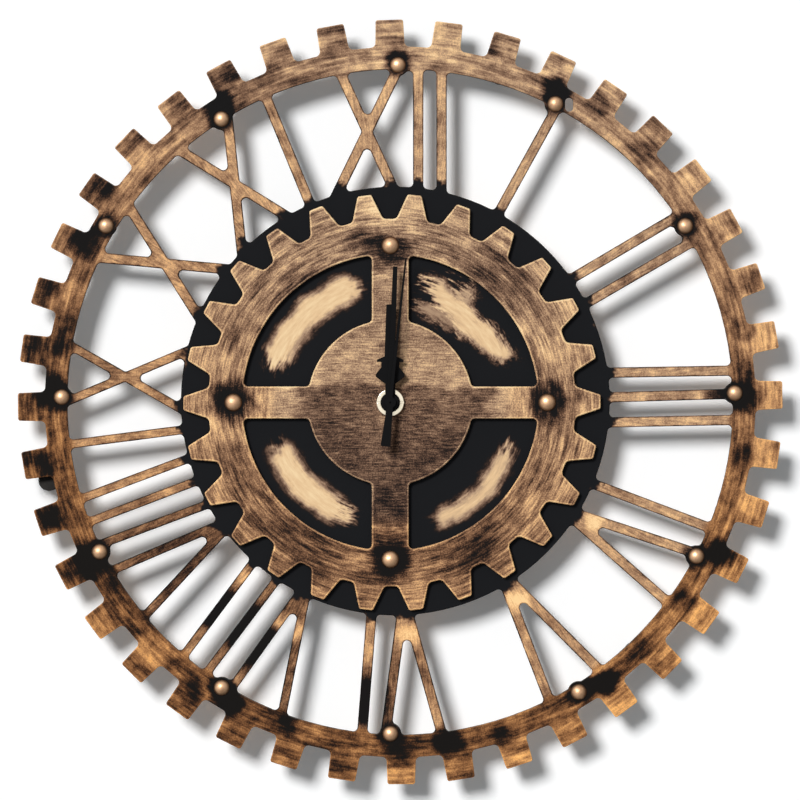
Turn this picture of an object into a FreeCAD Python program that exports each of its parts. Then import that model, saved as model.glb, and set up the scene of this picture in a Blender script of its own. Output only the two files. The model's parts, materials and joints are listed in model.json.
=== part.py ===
import FreeCAD, Part
import math
import os
from FreeCAD import Vector

# A wall clock cut from two sheets of fibreboard, with a quartz movement behind them.
# X points right, Z points up, and Y points from the face to the wall.
# The origin is on the hands' axis at the wall.
# A place is a pair of numbers, X then Z. Lengths are in millimetres and angles in degrees.
# Angles on the dial run clockwise from twelve, and angles in the train run
# anticlockwise from X, both as the face is seen.

# Toothed ring and disc of the dial plate
plate_thickness = 6.0
ring_inner_radius = 174.1
ring_band_width = 11.8
ring_tooth_height = 14.1
ring_offset = 5.2
ring_rise = 0.3
ring_teeth = 40
ring_tooth_angle = 8.1
ring_tooth_tip_width = 14.4
ring_tooth_base_width = 15.4
ring_tooth_tip_round = 1.2
ring_tooth_root_round = 2.6
disc_margin = 3.1
disc_offset = 2.6
disc_rise = 0.8
slot_width = 4.2
slot_height = 7.3
slot_angle = 29.6
slot_inset = 4.7

# Numerals: each bar has its angle at the ring and at the disc, about the ring's centre
bar_width = 5.4
slim_bar_width = 4.7
slim_numerals = ("VII", "VIII", "IX")
bar_outer_inset = 4.1
bar_inner_inset = 7.9
bar_overrun = 13.0
window_round = 2.2
numeral_bars = {
    "I": [(28.0, 27.6)],
    "II": [(56.1, 54.7), (61.3, 61.9)],
    "III": [(84.5, 82.6), (88.6, 88.7), (93.2, 95.0)],
    "IV": [(112.2, 112.8), (117.3, 121.1), (126.7, 124.7)],
    "V": [(143.6, 147.2), (153.3, 150.9)],
    "VI": [(173.1, 176.8), (182.4, 180.2), (186.6, 187.5)],
    "VII": [(201.0, 205.1), (210.4, 208.2), (215.5, 214.9), (220.6, 222.2)],
    "VIII": [(230.2, 233.3), (239.5, 236.4), (244.5, 242.4), (248.9, 248.8), (253.2, 254.8)],
    "IX": [(262.7, 262.7), (270.7, 281.6), (279.1, 269.7)],
    "X": [(296.2, 305.7), (305.1, 294.7)],
    "XI": [(319.3, 327.1), (328.1, 315.8), (336.2, 335.6)],
    "XII": [(350.1, 356.5), (358.9, 345.8)],
}

# The two upright bars of the twelve, from the ring's centre to the right
upright_bar_offset = 9.4
upright_bar_spacing = 12.2

# Most of a window's area over its length, and of a straight side, that a rounding may take
window_round_share = 0.8
side_round_share = 0.45

# Front gear
gear_thickness = 4.0
gear_window_inner_radius = 43.2
gear_window_outer_radius = 77.4
gear_band_width = 18.6
gear_tooth_height = 13.0
gear_offset = 0.9
gear_teeth = 26
gear_tooth_angle = 6.7
gear_tooth_tip_width = 7.2
gear_tooth_base_width = 16.2
gear_tooth_tip_round = 1.3
gear_tooth_root_round = 3.0
gear_window_round = 2.4
upright_spoke_width = 19.2
level_spoke_width = 16.7

# Domed nails
stud_boss_radius = 5.6
stud_angles = (-0.4, 27.5, 58.3, 88.5, 117.5, 148.4, 181.7, 212.0, 243.5, 270.8, 300.9, 327.7)

# How far each nail sits from the ring's centre, as shares of the ring's inner radius
stud_reach_shares = (1.012, 1.009, 1.006, 1.005, 1.003, 1.023, 0.997, 1.012, 1.009, 1.017,
                     1.030, 1.005)
ring_dome_radius = 4.2
ring_dome_height = 2.4
ring_pin_length = 5.0
gear_stud_inset = 4.6
gear_stud_count = 4
gear_dome_radius = 4.7
gear_dome_height = 2.8
gear_pin_length = 8.5
stud_pin_radius = 0.8
stud_pin_clearance = 0.05

# Pads that keep the ring off the wall
pad_radius = 5.5
pad_slip = 8.5
pad_angles = (17.0, 137.0)
slipped_pad_angle = 257.4

# Clamp between the movement and the two sheets
thread_radius = 4.0
thread_clearance = 0.1
bushing_flange_radius = 5.5
bushing_flange_thickness = 0.6
bushing_stand = 0.5
gasket_radius = 24.0
gasket_thickness = 0.8
gasket_clearance = 0.2
washer_radius = 6.6
washer_thickness = 0.6
nut_radius = 7.2
nut_thickness = 2.0
nut_slot_width = 1.2
nut_slot_depth = 0.8
nut_edge = 0.3

# Movement's case and cover
case_wall = 1.4
case_side_wall = 1.2
case_corner_round = 3.0
divider_thickness = 1.0
cover_thickness = 1.2
cover_clearance = 0.1
post_radius = 2.0
post_margin = 3.4
boss_radius = 1.4
boss_height = 1.3

# Middle plate
middle_plate_thickness = 1.0
middle_plate_clearance = 0.2
middle_plate_gap = 0.5

# Train: face widths, gaps between layers and fits
layer_gap = 0.2
motion_wheel_thickness = 1.0
train_wheel_thickness = 0.8
running_clearance = 0.05
pivot_radius = 0.35
pivot_length = 0.8
arbor_radius = 0.5

# Teeth: the shares are of the module, and the tooth share is of the pitch
pressure_angle = 20.0
wheel_addendum_share = 0.45
wheel_dedendum_share = 1.05
pinion_addendum_share = 0.8
pinion_dedendum_share = 0.75
tooth_share = 0.44

# Numbers of teeth
rotor_pinion_teeth = 8
intermediate_wheel_teeth = 48
intermediate_pinion_teeth = 8
seconds_wheel_teeth = 40
seconds_pinion_teeth = 8
third_wheel_teeth = 64
third_pinion_teeth = 8
centre_wheel_teeth = 60
cannon_pinion_teeth = 12
minute_wheel_teeth = 36
minute_pinion_teeth = 10
hour_wheel_teeth = 40

# Distances between the arbors, and the way each one lies from its neighbour
rotor_distance = 7.0
intermediate_distance = 9.6
third_distance = 9.0
minute_wheel_distance = 9.6
rotor_direction = 60.0
intermediate_direction = 75.0
third_direction = 150.0
minute_wheel_direction = 20.0

# Pipes and arbor that carry the hands
seconds_arbor_radius = 0.5
minute_pipe_radius = 1.7
hour_pipe_radius = 2.5
minute_arbor_radius = 0.6
hour_pipe_stand = 2.4
minute_pipe_stand = 2.2
seconds_arbor_stand = 2.4

# Hands: lengths from the axis, and the way each one points
hour_hand_length = 51.2
hour_hand_angle = 0.0
hour_hand_thickness = 0.5
hour_hub_radius = 5.1
hour_collet_length = 1.3
hour_neck_width = 5.2
hour_flare_width = 15.2
hour_waist_width = 9.4
hour_cross_width = 13.9
hour_blade_width = 6.0
hour_tip_width = 4.1
hour_flare_share = 0.275
hour_flare_start_share = 0.19
hour_waist_share = 0.36
hour_cross_share = 0.425
hour_cross_half_share = 0.012
hour_blade_share = 0.47
minute_hand_length = 71.0
minute_hand_angle = 2.1
minute_hand_thickness = 0.5
minute_hub_radius = 4.4
minute_collet_length = 1.0
minute_root_width = 3.4
minute_tip_width = 2.4
second_hand_length = 75.8
second_hand_tail = 23.0
second_hand_angle = 6.2
second_hand_thickness = 0.4
second_hub_radius = 3.0
second_collet_length = 1.4
second_root_width = 1.8
second_tip_width = 0.9
second_tail_root_width = 3.0
second_tail_end_width = 5.2
collet_wall = 0.8
hand_tip_round = 0.3

# Setting knob
knob_radius = 5.0
knob_thickness = 2.2
knob_ribs = 24
knob_rib_depth = 0.35
knob_inset = 0.2
well_clearance = 0.6
well_wall = 1.0
well_floor_gap = 0.2

# Motor
magnet_radius = 3.0
magnet_length = 2.5
rotor_air_gap = 0.4
stator_thickness = 1.0
stator_length = 30.0
stator_height = 8.0
ear_width = 4.0
coil_rise = 7.6
coil_margin = 1.165
core_width = 3.0
bobbin_radius = 2.0
bobbin_flange_thickness = 0.5
bobbin_gap = 0.3
coil_radius = 2.7
peg_radius = 0.8
peg_shoulder_radius = 1.6
peg_clearance = 0.05
peg_stand = 0.3

# Circuit
board_width = 12.0
board_height = 20.0
board_thickness = 0.8
board_low = -3.0
board_gap = 0.2
board_post_radius = 1.2
board_post_height = 1.4
crystal_radius = 1.0
crystal_length = 6.0
crystal_rise = 14.0
chip_radius = 2.6
chip_height = 0.8
chip_rise = 7.0

# Battery and its contacts
battery_radius = 7.25
battery_length = 50.5
battery_nub_radius = 2.75
battery_nub_length = 1.2
battery_clearance = 0.1
spring_room = 2.7
contact_thickness = 0.4
contact_width = 8.0
contact_height = 10.0
lead_width = 2.0
lead_reach = 3.0
lead_column = 7.0
lead_slot_clearance = 0.2
spring_half_height = 4.0

# Hanger
hanger_width = 16.0
hanger_thickness = 1.0
hanger_rise = 12.0
hanger_foot = 12.0
hanger_inset = 2.0
hanger_hole_radius = 2.5
hanger_hole_rise = 7.0
rivet_radius = 1.0
rivet_spacing = 9.0
rivet_stand = 0.4

# Length by which a cut runs past what it cuts
overrun = 1.0

# Radii of the ring, the disc and the gear
ring_root_radius = ring_inner_radius + ring_band_width
ring_tip_radius = ring_root_radius + ring_tooth_height
gear_root_radius = gear_window_outer_radius + gear_band_width
gear_tip_radius = gear_root_radius + gear_tooth_height
disc_radius = gear_tip_radius + disc_margin
bar_outer_radius = ring_inner_radius - bar_outer_inset
bar_inner_radius = disc_radius + bar_inner_inset
slot_radius = ring_inner_radius + slot_inset
pad_place_radius = (ring_inner_radius + ring_root_radius) / 2
gear_stud_radius = gear_window_outer_radius + gear_stud_inset

# Depth of the case: the battery's or the train's, whichever is greater
battery_room = battery_clearance + 2 * battery_radius
train_room = (2 * motion_wheel_thickness + middle_plate_thickness + 4 * train_wheel_thickness
              + 9 * layer_gap + magnet_length + boss_height + cover_thickness)
case_depth = case_wall + max(battery_room, train_room)

# Stack from the wall to the face
case_front = -case_depth
plate_back = case_front - gasket_thickness
plate_front = plate_back - plate_thickness
gear_front = plate_front - gear_thickness
washer_front = gear_front - washer_thickness
nut_front = washer_front - nut_thickness
bushing_front = nut_front - bushing_stand
hour_pipe_front = bushing_front - hour_pipe_stand
minute_pipe_front = hour_pipe_front - minute_pipe_stand
seconds_arbor_front = minute_pipe_front - seconds_arbor_stand

# Layers inside the case, from its front wall to its cover
case_inside = case_front + case_wall
hour_layer = case_inside + layer_gap
hour_layer_end = hour_layer + motion_wheel_thickness
minute_layer = hour_layer_end + layer_gap
minute_layer_end = minute_layer + motion_wheel_thickness
middle_front = minute_layer_end + layer_gap
middle_rear = middle_front + middle_plate_thickness
centre_layer = middle_rear + layer_gap
centre_layer_end = centre_layer + train_wheel_thickness
third_layer = centre_layer_end + layer_gap
third_layer_end = third_layer + train_wheel_thickness
seconds_layer = third_layer_end + layer_gap
seconds_layer_end = seconds_layer + train_wheel_thickness
intermediate_layer = seconds_layer_end + layer_gap
intermediate_layer_end = intermediate_layer + train_wheel_thickness
magnet_front = intermediate_layer_end + layer_gap
magnet_rear = magnet_front + magnet_length
stator_front = magnet_front + (magnet_length - stator_thickness) / 2
stator_rear = stator_front + stator_thickness
core_rear = stator_rear + stator_thickness
coil_depth = (stator_rear + core_rear) / 2
cover_front = -cover_thickness
boss_front = cover_front - boss_height
arbor_end = boss_front - layer_gap
pivot_end = arbor_end + pivot_length
board_rear = cover_front - board_post_height
board_front = board_rear - board_thickness

# Centres on the face
arbor = (0.0, 0.0)
ring_centre = (ring_offset, ring_rise)
disc_centre = (disc_offset, disc_rise)
gear_centre = (gear_offset, 0.0)


def aside(place, distance, direction):
    """Place at a distance from another, along a direction anticlockwise from X."""
    turn = math.radians(direction)
    return (place[0] + distance * math.cos(turn), place[1] + distance * math.sin(turn))


def on_dial(centre, radius, angle):
    """Place on a dial, with the angle clockwise from twelve."""
    return aside(centre, radius, 90 - angle)


intermediate_place = aside(arbor, intermediate_distance, intermediate_direction)
rotor_place = aside(intermediate_place, rotor_distance, rotor_direction)
third_place = aside(arbor, third_distance, third_direction)
minute_wheel_place = aside(arbor, minute_wheel_distance, minute_wheel_direction)
coil_height = rotor_place[1] + coil_rise
ear_places = [
    (rotor_place[0] + side * (stator_length - ear_width) / 2, coil_height) for side in (-1, 1)
]

# Inside of the case: as wide as the battery or the motor needs and as high as the coil needs
battery_half_room = (battery_length + contact_thickness + spring_room) / 2
motor_half_room = rotor_place[0] + stator_length / 2 + layer_gap + post_radius + post_margin
inner_right = max(battery_half_room, motor_half_room)
inner_top = coil_height + coil_radius + coil_margin
case_width = 2 * (inner_right + case_side_wall)
case_height = 2 * (inner_top + case_side_wall)
battery_height = battery_clearance - inner_top + battery_radius
divider_low = battery_height + battery_radius + battery_clearance
divider_high = divider_low + divider_thickness
battery_depth = case_inside + battery_clearance + battery_radius
post_places = [
    (side * (inner_right - post_margin), height)
    for side in (-1, 1)
    for height in (divider_high + post_margin, inner_top - post_margin)
]


def point(place, depth=0.0):
    """Point of the model at a place on the face and a depth."""
    return Vector(place[0], depth, place[1])


def prism(outline, front, rear):
    """Solid between two depths over a flat outline that is drawn at depth zero."""
    face = outline if outline.ShapeType == "Face" else Part.Face(outline)
    face = face.copy()
    face.translate(Vector(0, front, 0))
    return face.extrude(Vector(0, rear - front, 0))


def cylinder(place, radius, front, rear):
    """Round bar along Y."""
    return Part.makeCylinder(radius, rear - front, point(place, front), Vector(0, 1, 0))


def bore(place, radius, front, rear):
    """Round cutter along Y that runs past both depths."""
    return cylinder(place, radius, front - overrun, rear + overrun)


def block(left, right, front, rear, low, high):
    """Box between two values on each axis."""
    corner = Vector(left, front, low)
    return Part.makeBox(right - left, rear - front, high - low, corner)


def join(first, *others):
    """One solid from pieces that touch or overlap."""
    return first.fuse(list(others)).removeSplitter() if others else first


def circle_face(place, radius):
    """Flat round face at depth zero."""
    edge = Part.Circle(point(place), Vector(0, -1, 0), radius).toShape()
    return Part.Face(Part.Wire([edge]))


def rounded_loop(corners):
    """Closed outline through corners, each a place and the radius that rounds it."""
    count = len(corners)
    starts = []
    middles = []
    ends = []
    for index, (place, radius) in enumerate(corners):
        here = point(place)
        back = point(corners[index - 1][0]) - here
        ahead = point(corners[(index + 1) % count][0]) - here
        shorter_side = min(back.Length, ahead.Length)
        back.normalize()
        ahead.normalize()
        half_turn = back.getAngle(ahead) / 2
        reach = min(radius / math.tan(half_turn), side_round_share * shorter_side)
        inward = (back + ahead).normalize()
        starts.append(here + back * reach)
        ends.append(here + ahead * reach)
        middles.append(here + inward * reach * (1 / math.cos(half_turn) - math.tan(half_turn)))
    edges = []
    for index in range(count):
        if corners[index][1] > 0:
            edges.append(Part.Arc(starts[index], middles[index], ends[index]).toShape())
        following = (index + 1) % count
        edges.append(Part.LineSegment(ends[index], starts[following]).toShape())
    return Part.Wire(edges)


def sharp_loop(places):
    """Closed outline through places with no rounding."""
    points = [point(place) for place in places]
    return Part.makePolygon(points + points[:1])


def dial_angle(centre, place):
    """Angle clockwise from twelve at which a place is seen from a centre."""
    return math.degrees(math.atan2(place[0] - centre[0], place[1] - centre[1]))


def toothed_outline(centre, aim, teeth, first, tip_radius, root_radius, tip_width, base_width,
                    tip_round, root_round):
    """Outline of a sawn gear whose straight-sided teeth are evenly spaced as seen from aim."""
    corners = []
    for index in range(teeth):
        tip = on_dial(aim, tip_radius, first + 360.0 * index / teeth)
        middle = dial_angle(centre, tip)
        base_turn = math.degrees(math.asin(base_width / 2 / root_radius))
        tip_turn = math.degrees(math.asin(tip_width / 2 / tip_radius))
        corners.append((on_dial(centre, root_radius, middle - base_turn), root_round))
        corners.append((on_dial(centre, tip_radius, middle - tip_turn), tip_round))
        corners.append((on_dial(centre, tip_radius, middle + tip_turn), tip_round))
        corners.append((on_dial(centre, root_radius, middle + base_turn), root_round))
    return rounded_loop(corners)


def bar_face(outer, inner, width, extra):
    """Straight bar between two places, run on past both ends."""
    along = (point(outer) - point(inner)).normalize()
    across = Vector(-along.z, 0, along.x) * (width / 2)
    far = point(outer) + along * extra
    near = point(inner) - along * extra
    return Part.Face(Part.makePolygon([far + across, far - across, near - across,
                                       near + across, far + across]))


def rounded_windows(area, solid_parts, radius):
    """Open faces left in an area by the parts that cross it, with rounded corners."""
    windows = []
    for face in area.cut(solid_parts).Faces:
        corner = min(radius, window_round_share * face.Area / face.Length)
        for core in face.makeOffset2D(-corner).Faces:
            windows.append(core.makeOffset2D(corner))
    return windows


def dial_bars():
    """Flat faces of every bar of the numerals."""
    bars = []
    for numeral, strokes in numeral_bars.items():
        width = slim_bar_width if numeral in slim_numerals else bar_width
        for outer_angle, inner_angle in strokes:
            outer = on_dial(ring_centre, bar_outer_radius, outer_angle)
            inner = on_dial(ring_centre, bar_inner_radius, inner_angle)
            bars.append(bar_face(outer, inner, width, bar_overrun))
    for place in (upright_bar_offset, upright_bar_offset + upright_bar_spacing):
        across = ring_offset + place
        outer = (across, bar_outer_radius + ring_rise)
        inner = (across, bar_inner_radius + ring_rise)
        bars.append(bar_face(outer, inner, bar_width, bar_overrun))
    return bars


def ring_stud_places():
    """Places of the twelve nails on the ring."""
    return [on_dial(ring_centre, ring_inner_radius * share, angle)
            for angle, share in zip(stud_angles, stud_reach_shares)]


def gear_stud_places():
    """Places of the four nails on the gear's spokes."""
    return [on_dial(arbor, gear_stud_radius, 360.0 * index / gear_stud_count)
            for index in range(gear_stud_count)]


def dial_plate():
    """Ring, numerals and disc, cut from one sheet."""
    outline = toothed_outline(ring_centre, disc_centre, ring_teeth, ring_tooth_angle,
                              ring_tip_radius, ring_root_radius, ring_tooth_tip_width,
                              ring_tooth_base_width, ring_tooth_tip_round,
                              ring_tooth_root_round)
    opening = circle_face(ring_centre, ring_inner_radius)
    opening = opening.cut(circle_face(disc_centre, disc_radius))
    bosses = [circle_face(place, stud_boss_radius) for place in ring_stud_places()]
    windows = rounded_windows(opening, dial_bars() + bosses, window_round)
    sheet = Part.Face(outline).cut(windows).Faces[0]
    plate = prism(sheet, plate_front, plate_back)
    slot_place = on_dial(ring_centre, slot_radius, slot_angle)
    half_slot = slot_width / 2
    slot_ends = (slot_height - slot_width) / 2
    cuts = [
        bore((slot_place[0], slot_place[1] + slot_ends), half_slot, plate_front, plate_back),
        bore((slot_place[0], slot_place[1] - slot_ends), half_slot, plate_front, plate_back),
        block(slot_place[0] - half_slot, slot_place[0] + half_slot,
              plate_front - overrun, plate_back + overrun,
              slot_place[1] - slot_ends, slot_place[1] + slot_ends),
        bore(arbor, thread_radius + thread_clearance, plate_front, plate_back),
    ]
    pin_hole = stud_pin_radius + stud_pin_clearance
    ring_pin_end = plate_front + ring_pin_length + stud_pin_clearance
    gear_pin_end = gear_front + gear_pin_length + stud_pin_clearance
    for place in ring_stud_places():
        cuts.append(cylinder(place, pin_hole, plate_front - overrun, ring_pin_end))
    for place in gear_stud_places():
        cuts.append(cylinder(place, pin_hole, plate_front - overrun, gear_pin_end))
    return plate.cut(cuts)


def front_gear():
    """Smaller gear that lies on the disc."""
    outline = toothed_outline(gear_centre, arbor, gear_teeth, gear_tooth_angle,
                              gear_tip_radius, gear_root_radius, gear_tooth_tip_width,
                              gear_tooth_base_width, gear_tooth_tip_round,
                              gear_tooth_root_round)
    opening = circle_face(arbor, gear_window_outer_radius)
    opening = opening.cut(circle_face(arbor, gear_window_inner_radius))
    reach = gear_window_outer_radius
    spokes = [
        bar_face((0.0, reach), (0.0, -reach), upright_spoke_width, overrun),
        bar_face((reach, 0.0), (-reach, 0.0), level_spoke_width, overrun),
    ]
    windows = rounded_windows(opening, spokes, gear_window_round)
    sheet = Part.Face(outline).cut(windows).Faces[0]
    cuts = [bore(arbor, thread_radius + thread_clearance, gear_front, plate_front)]
    for place in gear_stud_places():
        cuts.append(bore(place, stud_pin_radius + stud_pin_clearance, gear_front, plate_front))
    return prism(sheet, gear_front, plate_front).cut(cuts)


def domed_nail(place, seat, dome_radius, dome_height, pin_length):
    """Nail with a domed head on a seat and a pointed pin behind it."""
    sphere_radius = (dome_radius ** 2 + dome_height ** 2) / (2 * dome_height)
    centre = point(place, seat - dome_height + sphere_radius)
    ball = Part.makeSphere(sphere_radius, centre)
    dome = ball.common(cylinder(place, dome_radius, seat - dome_height, seat))
    point_length = 2 * stud_pin_radius
    pin = cylinder(place, stud_pin_radius, seat, seat + pin_length - point_length)
    tip = Part.makeCone(stud_pin_radius, 0, point_length,
                        point(place, seat + pin_length - point_length), Vector(0, 1, 0))
    return join(dome, pin, tip)


def ring_studs():
    """Nails of the ring."""
    nails = [domed_nail(place, plate_front, ring_dome_radius, ring_dome_height, ring_pin_length)
             for place in ring_stud_places()]
    return Part.makeCompound(nails)


def gear_studs():
    """Nails that fix the gear to the disc."""
    nails = [domed_nail(place, gear_front, gear_dome_radius, gear_dome_height, gear_pin_length)
             for place in gear_stud_places()]
    return Part.makeCompound(nails)


def wall_pads():
    """Pads between the ring and the wall, one of them stuck too far out."""
    places = [on_dial(ring_centre, pad_place_radius, angle) for angle in pad_angles]
    places.append(on_dial(ring_centre, pad_place_radius + pad_slip, slipped_pad_angle))
    return Part.makeCompound([cylinder(place, pad_radius, plate_back, 0.0)
                              for place in places])


def threaded_bushing():
    """Brass bushing that goes through both sheets."""
    stem = cylinder(arbor, thread_radius, bushing_front, case_inside)
    flange = cylinder(arbor, bushing_flange_radius, case_front - bushing_flange_thickness,
                      case_front)
    hole = bore(arbor, hour_pipe_radius + running_clearance, bushing_front, case_inside)
    return join(stem, flange).cut(hole)


def rubber_gasket():
    """Soft ring between the movement and the disc."""
    hole = bore(arbor, bushing_flange_radius + gasket_clearance, plate_back, case_front)
    return cylinder(arbor, gasket_radius, plate_back, case_front).cut(hole)


def brass_washer():
    """Washer under the nut."""
    hole = bore(arbor, thread_radius + thread_clearance, washer_front, gear_front)
    return cylinder(arbor, washer_radius, washer_front, gear_front).cut(hole)


def fixing_nut():
    """Round nut with two slots for a driver."""
    body = cylinder(arbor, nut_radius, nut_front, washer_front)
    rim = [edge for edge in body.Edges if abs(edge.BoundBox.YMax - nut_front) < nut_edge
           and edge.Length > nut_radius]
    body = body.makeChamfer(nut_edge, rim)
    slots = block(-nut_radius - overrun, nut_radius + overrun, nut_front - overrun,
                  nut_front + nut_slot_depth, -nut_slot_width / 2, nut_slot_width / 2)
    hole = bore(arbor, thread_radius, nut_front, washer_front)
    return body.cut([slots, hole])


def case_outline(margin):
    """Rounded square of the case, drawn in by a margin."""
    right = case_width / 2 - margin
    top = case_height / 2 - margin
    corner = max(case_corner_round - margin, case_corner_round / 2)
    return rounded_loop([((-right, -top), corner), ((-right, top), corner),
                         ((right, top), corner), ((right, -top), corner)])


def lead_slots():
    """Notches that let the battery's leads pass the divider."""
    front = board_front - lead_width - lead_slot_clearance
    rear = board_front + lead_slot_clearance
    notch = contact_thickness + lead_slot_clearance
    low = divider_low - overrun
    high = divider_high + overrun
    return [
        block(-inner_right, notch - inner_right, front, rear, low, high),
        block(inner_right - notch, inner_right, front, rear, low, high),
    ]


def movement_case():
    """Tray that holds the train and the battery."""
    tray = prism(case_outline(0.0), case_front, 0.0)
    tray = tray.cut(prism(case_outline(case_side_wall), case_inside, overrun))
    divider = block(-inner_right, inner_right, case_inside, cover_front,
                    divider_low, divider_high)
    posts = [cylinder(place, post_radius, case_inside, middle_front) for place in post_places]
    rivets = [
        Part.makeCylinder(rivet_radius, hanger_thickness + rivet_stand,
                          Vector(side * rivet_spacing / 2, hanger_rivet_depth(),
                                 case_height / 2), Vector(0, 0, 1))
        for side in (-1, 1)
    ]
    case = join(tray, divider.cut(lead_slots()), *posts, *rivets)
    pivot_hole = cylinder(minute_wheel_place, pivot_radius + running_clearance,
                          case_inside - pivot_length, case_inside + overrun)
    return case.cut([bore(arbor, thread_radius, case_front, case_inside), pivot_hole])


def movement_cover():
    """Rear cover with pivot bosses and the knob's well."""
    edge = inner_right - cover_clearance
    top = inner_top - cover_clearance
    corner = case_corner_round / 2
    outline = rounded_loop([((-edge, divider_low), 0.0), ((-edge, top), corner),
                            ((edge, top), corner), ((edge, divider_low), 0.0)])
    plate = prism(outline, cover_front, 0.0)
    well_radius = knob_radius + well_clearance
    floor_rear = knob_inset + knob_thickness + well_floor_gap
    well = cylinder(minute_wheel_place, well_radius + well_wall, -floor_rear - well_wall, 0.0)
    bosses = [cylinder(place, boss_radius, boss_front, cover_front)
              for place in (arbor, third_place, intermediate_place, rotor_place)]
    posts = [cylinder(place, post_radius, middle_rear, cover_front) for place in post_places]
    board_posts = [cylinder(place, board_post_radius, board_rear, cover_front)
                   for place in board_post_places()]
    cover = join(plate, well, *bosses, *posts, *board_posts)
    cuts = [
        cylinder(minute_wheel_place, well_radius, -floor_rear, overrun),
        bore(minute_wheel_place, minute_arbor_radius + running_clearance,
             -floor_rear - well_wall, -floor_rear),
    ]
    for place in (arbor, third_place, intermediate_place, rotor_place):
        cuts.append(cylinder(place, pivot_radius + running_clearance, boss_front - overrun,
                             pivot_end + layer_gap))
    return cover.cut(cuts)


def middle_plate():
    """Plate between the motion work and the going train, with pegs for the motor."""
    edge = inner_right - middle_plate_clearance
    outline = rounded_loop([((-edge, divider_high + middle_plate_gap), 0.0),
                            ((-edge, inner_top - middle_plate_gap), case_corner_round / 2),
                            ((edge, inner_top - middle_plate_gap), case_corner_round / 2),
                            ((edge, divider_high + middle_plate_gap), 0.0)])
    plate = prism(outline, middle_front, middle_rear)
    shoulders = [cylinder(place, peg_shoulder_radius, middle_rear, stator_front)
                 for place in ear_places]
    pegs = [cylinder(place, peg_radius, stator_front, core_rear + peg_stand)
            for place in ear_places]
    cuts = [
        bore(arbor, minute_pipe_radius + running_clearance, middle_front, middle_rear),
        bore(minute_wheel_place, minute_arbor_radius + running_clearance,
             middle_front, middle_rear),
    ]
    for place in (third_place, intermediate_place, rotor_place):
        cuts.append(bore(place, pivot_radius + running_clearance, middle_front, middle_rear))
    return join(plate, *shoulders, *pegs).cut(cuts)


def involute(angle):
    """Involute function of an angle in radians."""
    return math.tan(angle) - angle


def tooth_half_angle(radius, base_radius, teeth):
    """Half the angle that a tooth fills at a radius, in radians."""
    flank = involute(math.acos(min(base_radius / radius, 1.0)))
    return tooth_share * math.pi / teeth + involute(math.radians(pressure_angle)) - flank


def gear_face(centre, teeth, module, addendum, dedendum, first):
    """Toothed face with involute flanks, with one tooth at the angle named first."""
    pitch_radius = module * teeth / 2
    base_radius = pitch_radius * math.cos(math.radians(pressure_angle))
    tip_radius = pitch_radius + addendum * module
    root_radius = pitch_radius - dedendum * module
    flank_start = max(base_radius, root_radius)
    flank_middle = (flank_start + tip_radius) / 2
    tip_half = tooth_half_angle(tip_radius, base_radius, teeth)
    middle_half = tooth_half_angle(flank_middle, base_radius, teeth)
    start_half = tooth_half_angle(flank_start, base_radius, teeth)

    def spot(radius, turn):
        return point(aside(centre, radius, math.degrees(turn)))

    edges = []
    step = 2 * math.pi / teeth
    for index in range(teeth):
        middle = math.radians(first) + index * step
        left = middle - start_half
        right = middle + start_half
        next_left = left + step
        if root_radius < flank_start:
            edges.append(Part.LineSegment(spot(root_radius, left),
                                          spot(flank_start, left)).toShape())
        edges.append(Part.Arc(spot(flank_start, left),
                              spot(flank_middle, middle - middle_half),
                              spot(tip_radius, middle - tip_half)).toShape())
        edges.append(Part.Arc(spot(tip_radius, middle - tip_half), spot(tip_radius, middle),
                              spot(tip_radius, middle + tip_half)).toShape())
        edges.append(Part.Arc(spot(tip_radius, middle + tip_half),
                              spot(flank_middle, middle + middle_half),
                              spot(flank_start, right)).toShape())
        if root_radius < flank_start:
            edges.append(Part.LineSegment(spot(flank_start, right),
                                          spot(root_radius, right)).toShape())
        edges.append(Part.Arc(spot(root_radius, right),
                              spot(root_radius, (right + next_left) / 2),
                              spot(root_radius, next_left)).toShape())
    return Part.Face(Part.Wire(edges))


def wheel(centre, teeth, module, first, front, rear):
    """Large wheel of a pair."""
    face = gear_face(centre, teeth, module, wheel_addendum_share, wheel_dedendum_share, first)
    return prism(face, front, rear)


def pinion(centre, teeth, module, first, front, rear):
    """Small wheel of a pair."""
    face = gear_face(centre, teeth, module, pinion_addendum_share, pinion_dedendum_share, first)
    return prism(face, front, rear)


def mesh_angle(first, teeth, direction, other_teeth):
    """Angle of a tooth on a gear that meshes with another, whose first tooth is given.

    The direction points from the given gear's centre to the meshing gear's centre.
    """
    pitches_ahead = (first - direction) * teeth / 360.0
    return direction + 180.0 + (0.5 - pitches_ahead) * 360.0 / other_teeth


def pair_module(distance, teeth, other_teeth):
    """Module of a pair of gears from the distance between their arbors."""
    return 2 * distance / (teeth + other_teeth)


rotor_module = pair_module(rotor_distance, rotor_pinion_teeth, intermediate_wheel_teeth)
intermediate_module = pair_module(intermediate_distance, intermediate_pinion_teeth,
                                  seconds_wheel_teeth)
third_module = pair_module(third_distance, seconds_pinion_teeth, third_wheel_teeth)
centre_module = pair_module(third_distance, third_pinion_teeth, centre_wheel_teeth)
minute_module = pair_module(minute_wheel_distance, cannon_pinion_teeth, minute_wheel_teeth)
hour_module = pair_module(minute_wheel_distance, minute_pinion_teeth, hour_wheel_teeth)

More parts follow.
